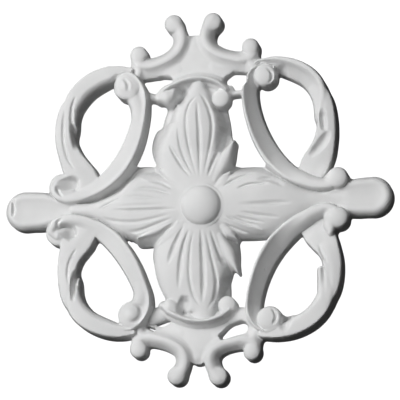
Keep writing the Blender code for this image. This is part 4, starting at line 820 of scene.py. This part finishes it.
def plain_sheet(name, size, place_at, turn, colour, glow):
    """A square of floor or backdrop."""
    mesh = bpy.data.meshes.new(name)
    half = 0.5 * size
    corners = [(-half, -half, 0), (half, -half, 0), (half, half, 0), (-half, half, 0)]
    mesh.from_pydata(corners, [], [(0, 1, 2, 3)])
    obj = bpy.data.objects.new(name, mesh)
    obj.location = place_at
    obj.rotation_euler = turn
    bpy.context.scene.collection.objects.link(obj)
    material = bpy.data.materials.new(name)
    material.use_nodes = True
    shader = material.node_tree.nodes["Principled BSDF"]
    shader.inputs["Base Color"].default_value = colour
    shader.inputs["Roughness"].default_value = STUDIO_ROUGHNESS
    shader.inputs["Emission Color"].default_value = WHITE
    shader.inputs["Emission Strength"].default_value = glow
    mesh.materials.append(material)
    return obj


def soft_light(name, azimuth, elevation, distance, size, power):
    """A square lamp that faces the casting: azimuth to the right of straight ahead, elevation above it."""
    a, e = math.radians(azimuth), math.radians(elevation)
    data = bpy.data.lights.new(name, "AREA")
    data.size = size
    data.energy = power
    lamp = bpy.data.objects.new(name, data)
    away = Vector((math.cos(e) * math.sin(a), -math.cos(e) * math.cos(a), math.sin(e)))
    lamp.location = away * distance
    lamp.rotation_euler = away.to_track_quat("Z", "Y").to_euler()
    bpy.context.scene.collection.objects.link(lamp)


def photo_camera():
    """The camera of the photograph: a little below the casting and to its right, from a good way off."""
    yaw, pitch, roll = (math.radians(v) for v in CAMERA_TURN)
    away = Vector((math.cos(pitch) * math.sin(yaw), -math.cos(pitch) * math.cos(yaw), -math.sin(pitch)))
    right = Vector((math.cos(yaw), math.sin(yaw), 0.0))
    up = Vector((math.sin(pitch) * math.sin(yaw), -math.sin(pitch) * math.cos(yaw), math.cos(pitch)))
    rolled_right = math.cos(roll) * right - math.sin(roll) * up
    rolled_up = math.sin(roll) * right + math.cos(roll) * up
    data = bpy.data.cameras.new("camera")
    data.sensor_width = SENSOR
    data.lens = SENSOR * CAMERA_DISTANCE / CAMERA_VIEW
    data.shift_x, data.shift_y = CAMERA_SHIFT
    data.clip_end = CAMERA_REACH
    camera = bpy.data.objects.new("camera", data)
    turn = Matrix((rolled_right, rolled_up, away)).transposed()
    camera.matrix_world = Matrix.Translation(away * CAMERA_DISTANCE) @ turn.to_4x4()
    bpy.context.scene.collection.objects.link(camera)
    bpy.context.scene.camera = camera


front, recess = casting_mesh()
casting = thinned(front, "rosette_casting")
note_recesses(casting.data, recess)
casting.data.materials.clear()
casting.data.materials.append(primer_with_painted_shade())
casting.data.shade_smooth()
casting.data.set_sharp_from_angle(angle=math.radians(SHARP_ANGLE))
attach(casting, "root")
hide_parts("rosette")

floor = plain_sheet("floor", ROOM, (0.0, 0.0, FLOOR_LEVEL), (0.0, 0.0, 0.0), FLOOR_GREY, FLOOR_GLOW)
backdrop = plain_sheet("backdrop", ROOM, (0.0, BACKDROP_AWAY, 0.0), (math.radians(90), 0.0, 0.0), WHITE,
                       BACKDROP_GLOW)
for sheet in (floor, backdrop):
    sheet.visible_diffuse = False
    sheet.visible_glossy = False
    sheet.visible_shadow = False
for lamp in LAMPS:
    soft_light(*lamp)
world = bpy.data.worlds.new("studio air")
world.use_nodes = True
world.node_tree.nodes["Background"].inputs["Color"].default_value = WHITE
world.node_tree.nodes["Background"].inputs["Strength"].default_value = AIR_GLOW
bpy.context.scene.world = world
photo_camera()
bpy.context.scene.view_settings.view_transform = "Standard"
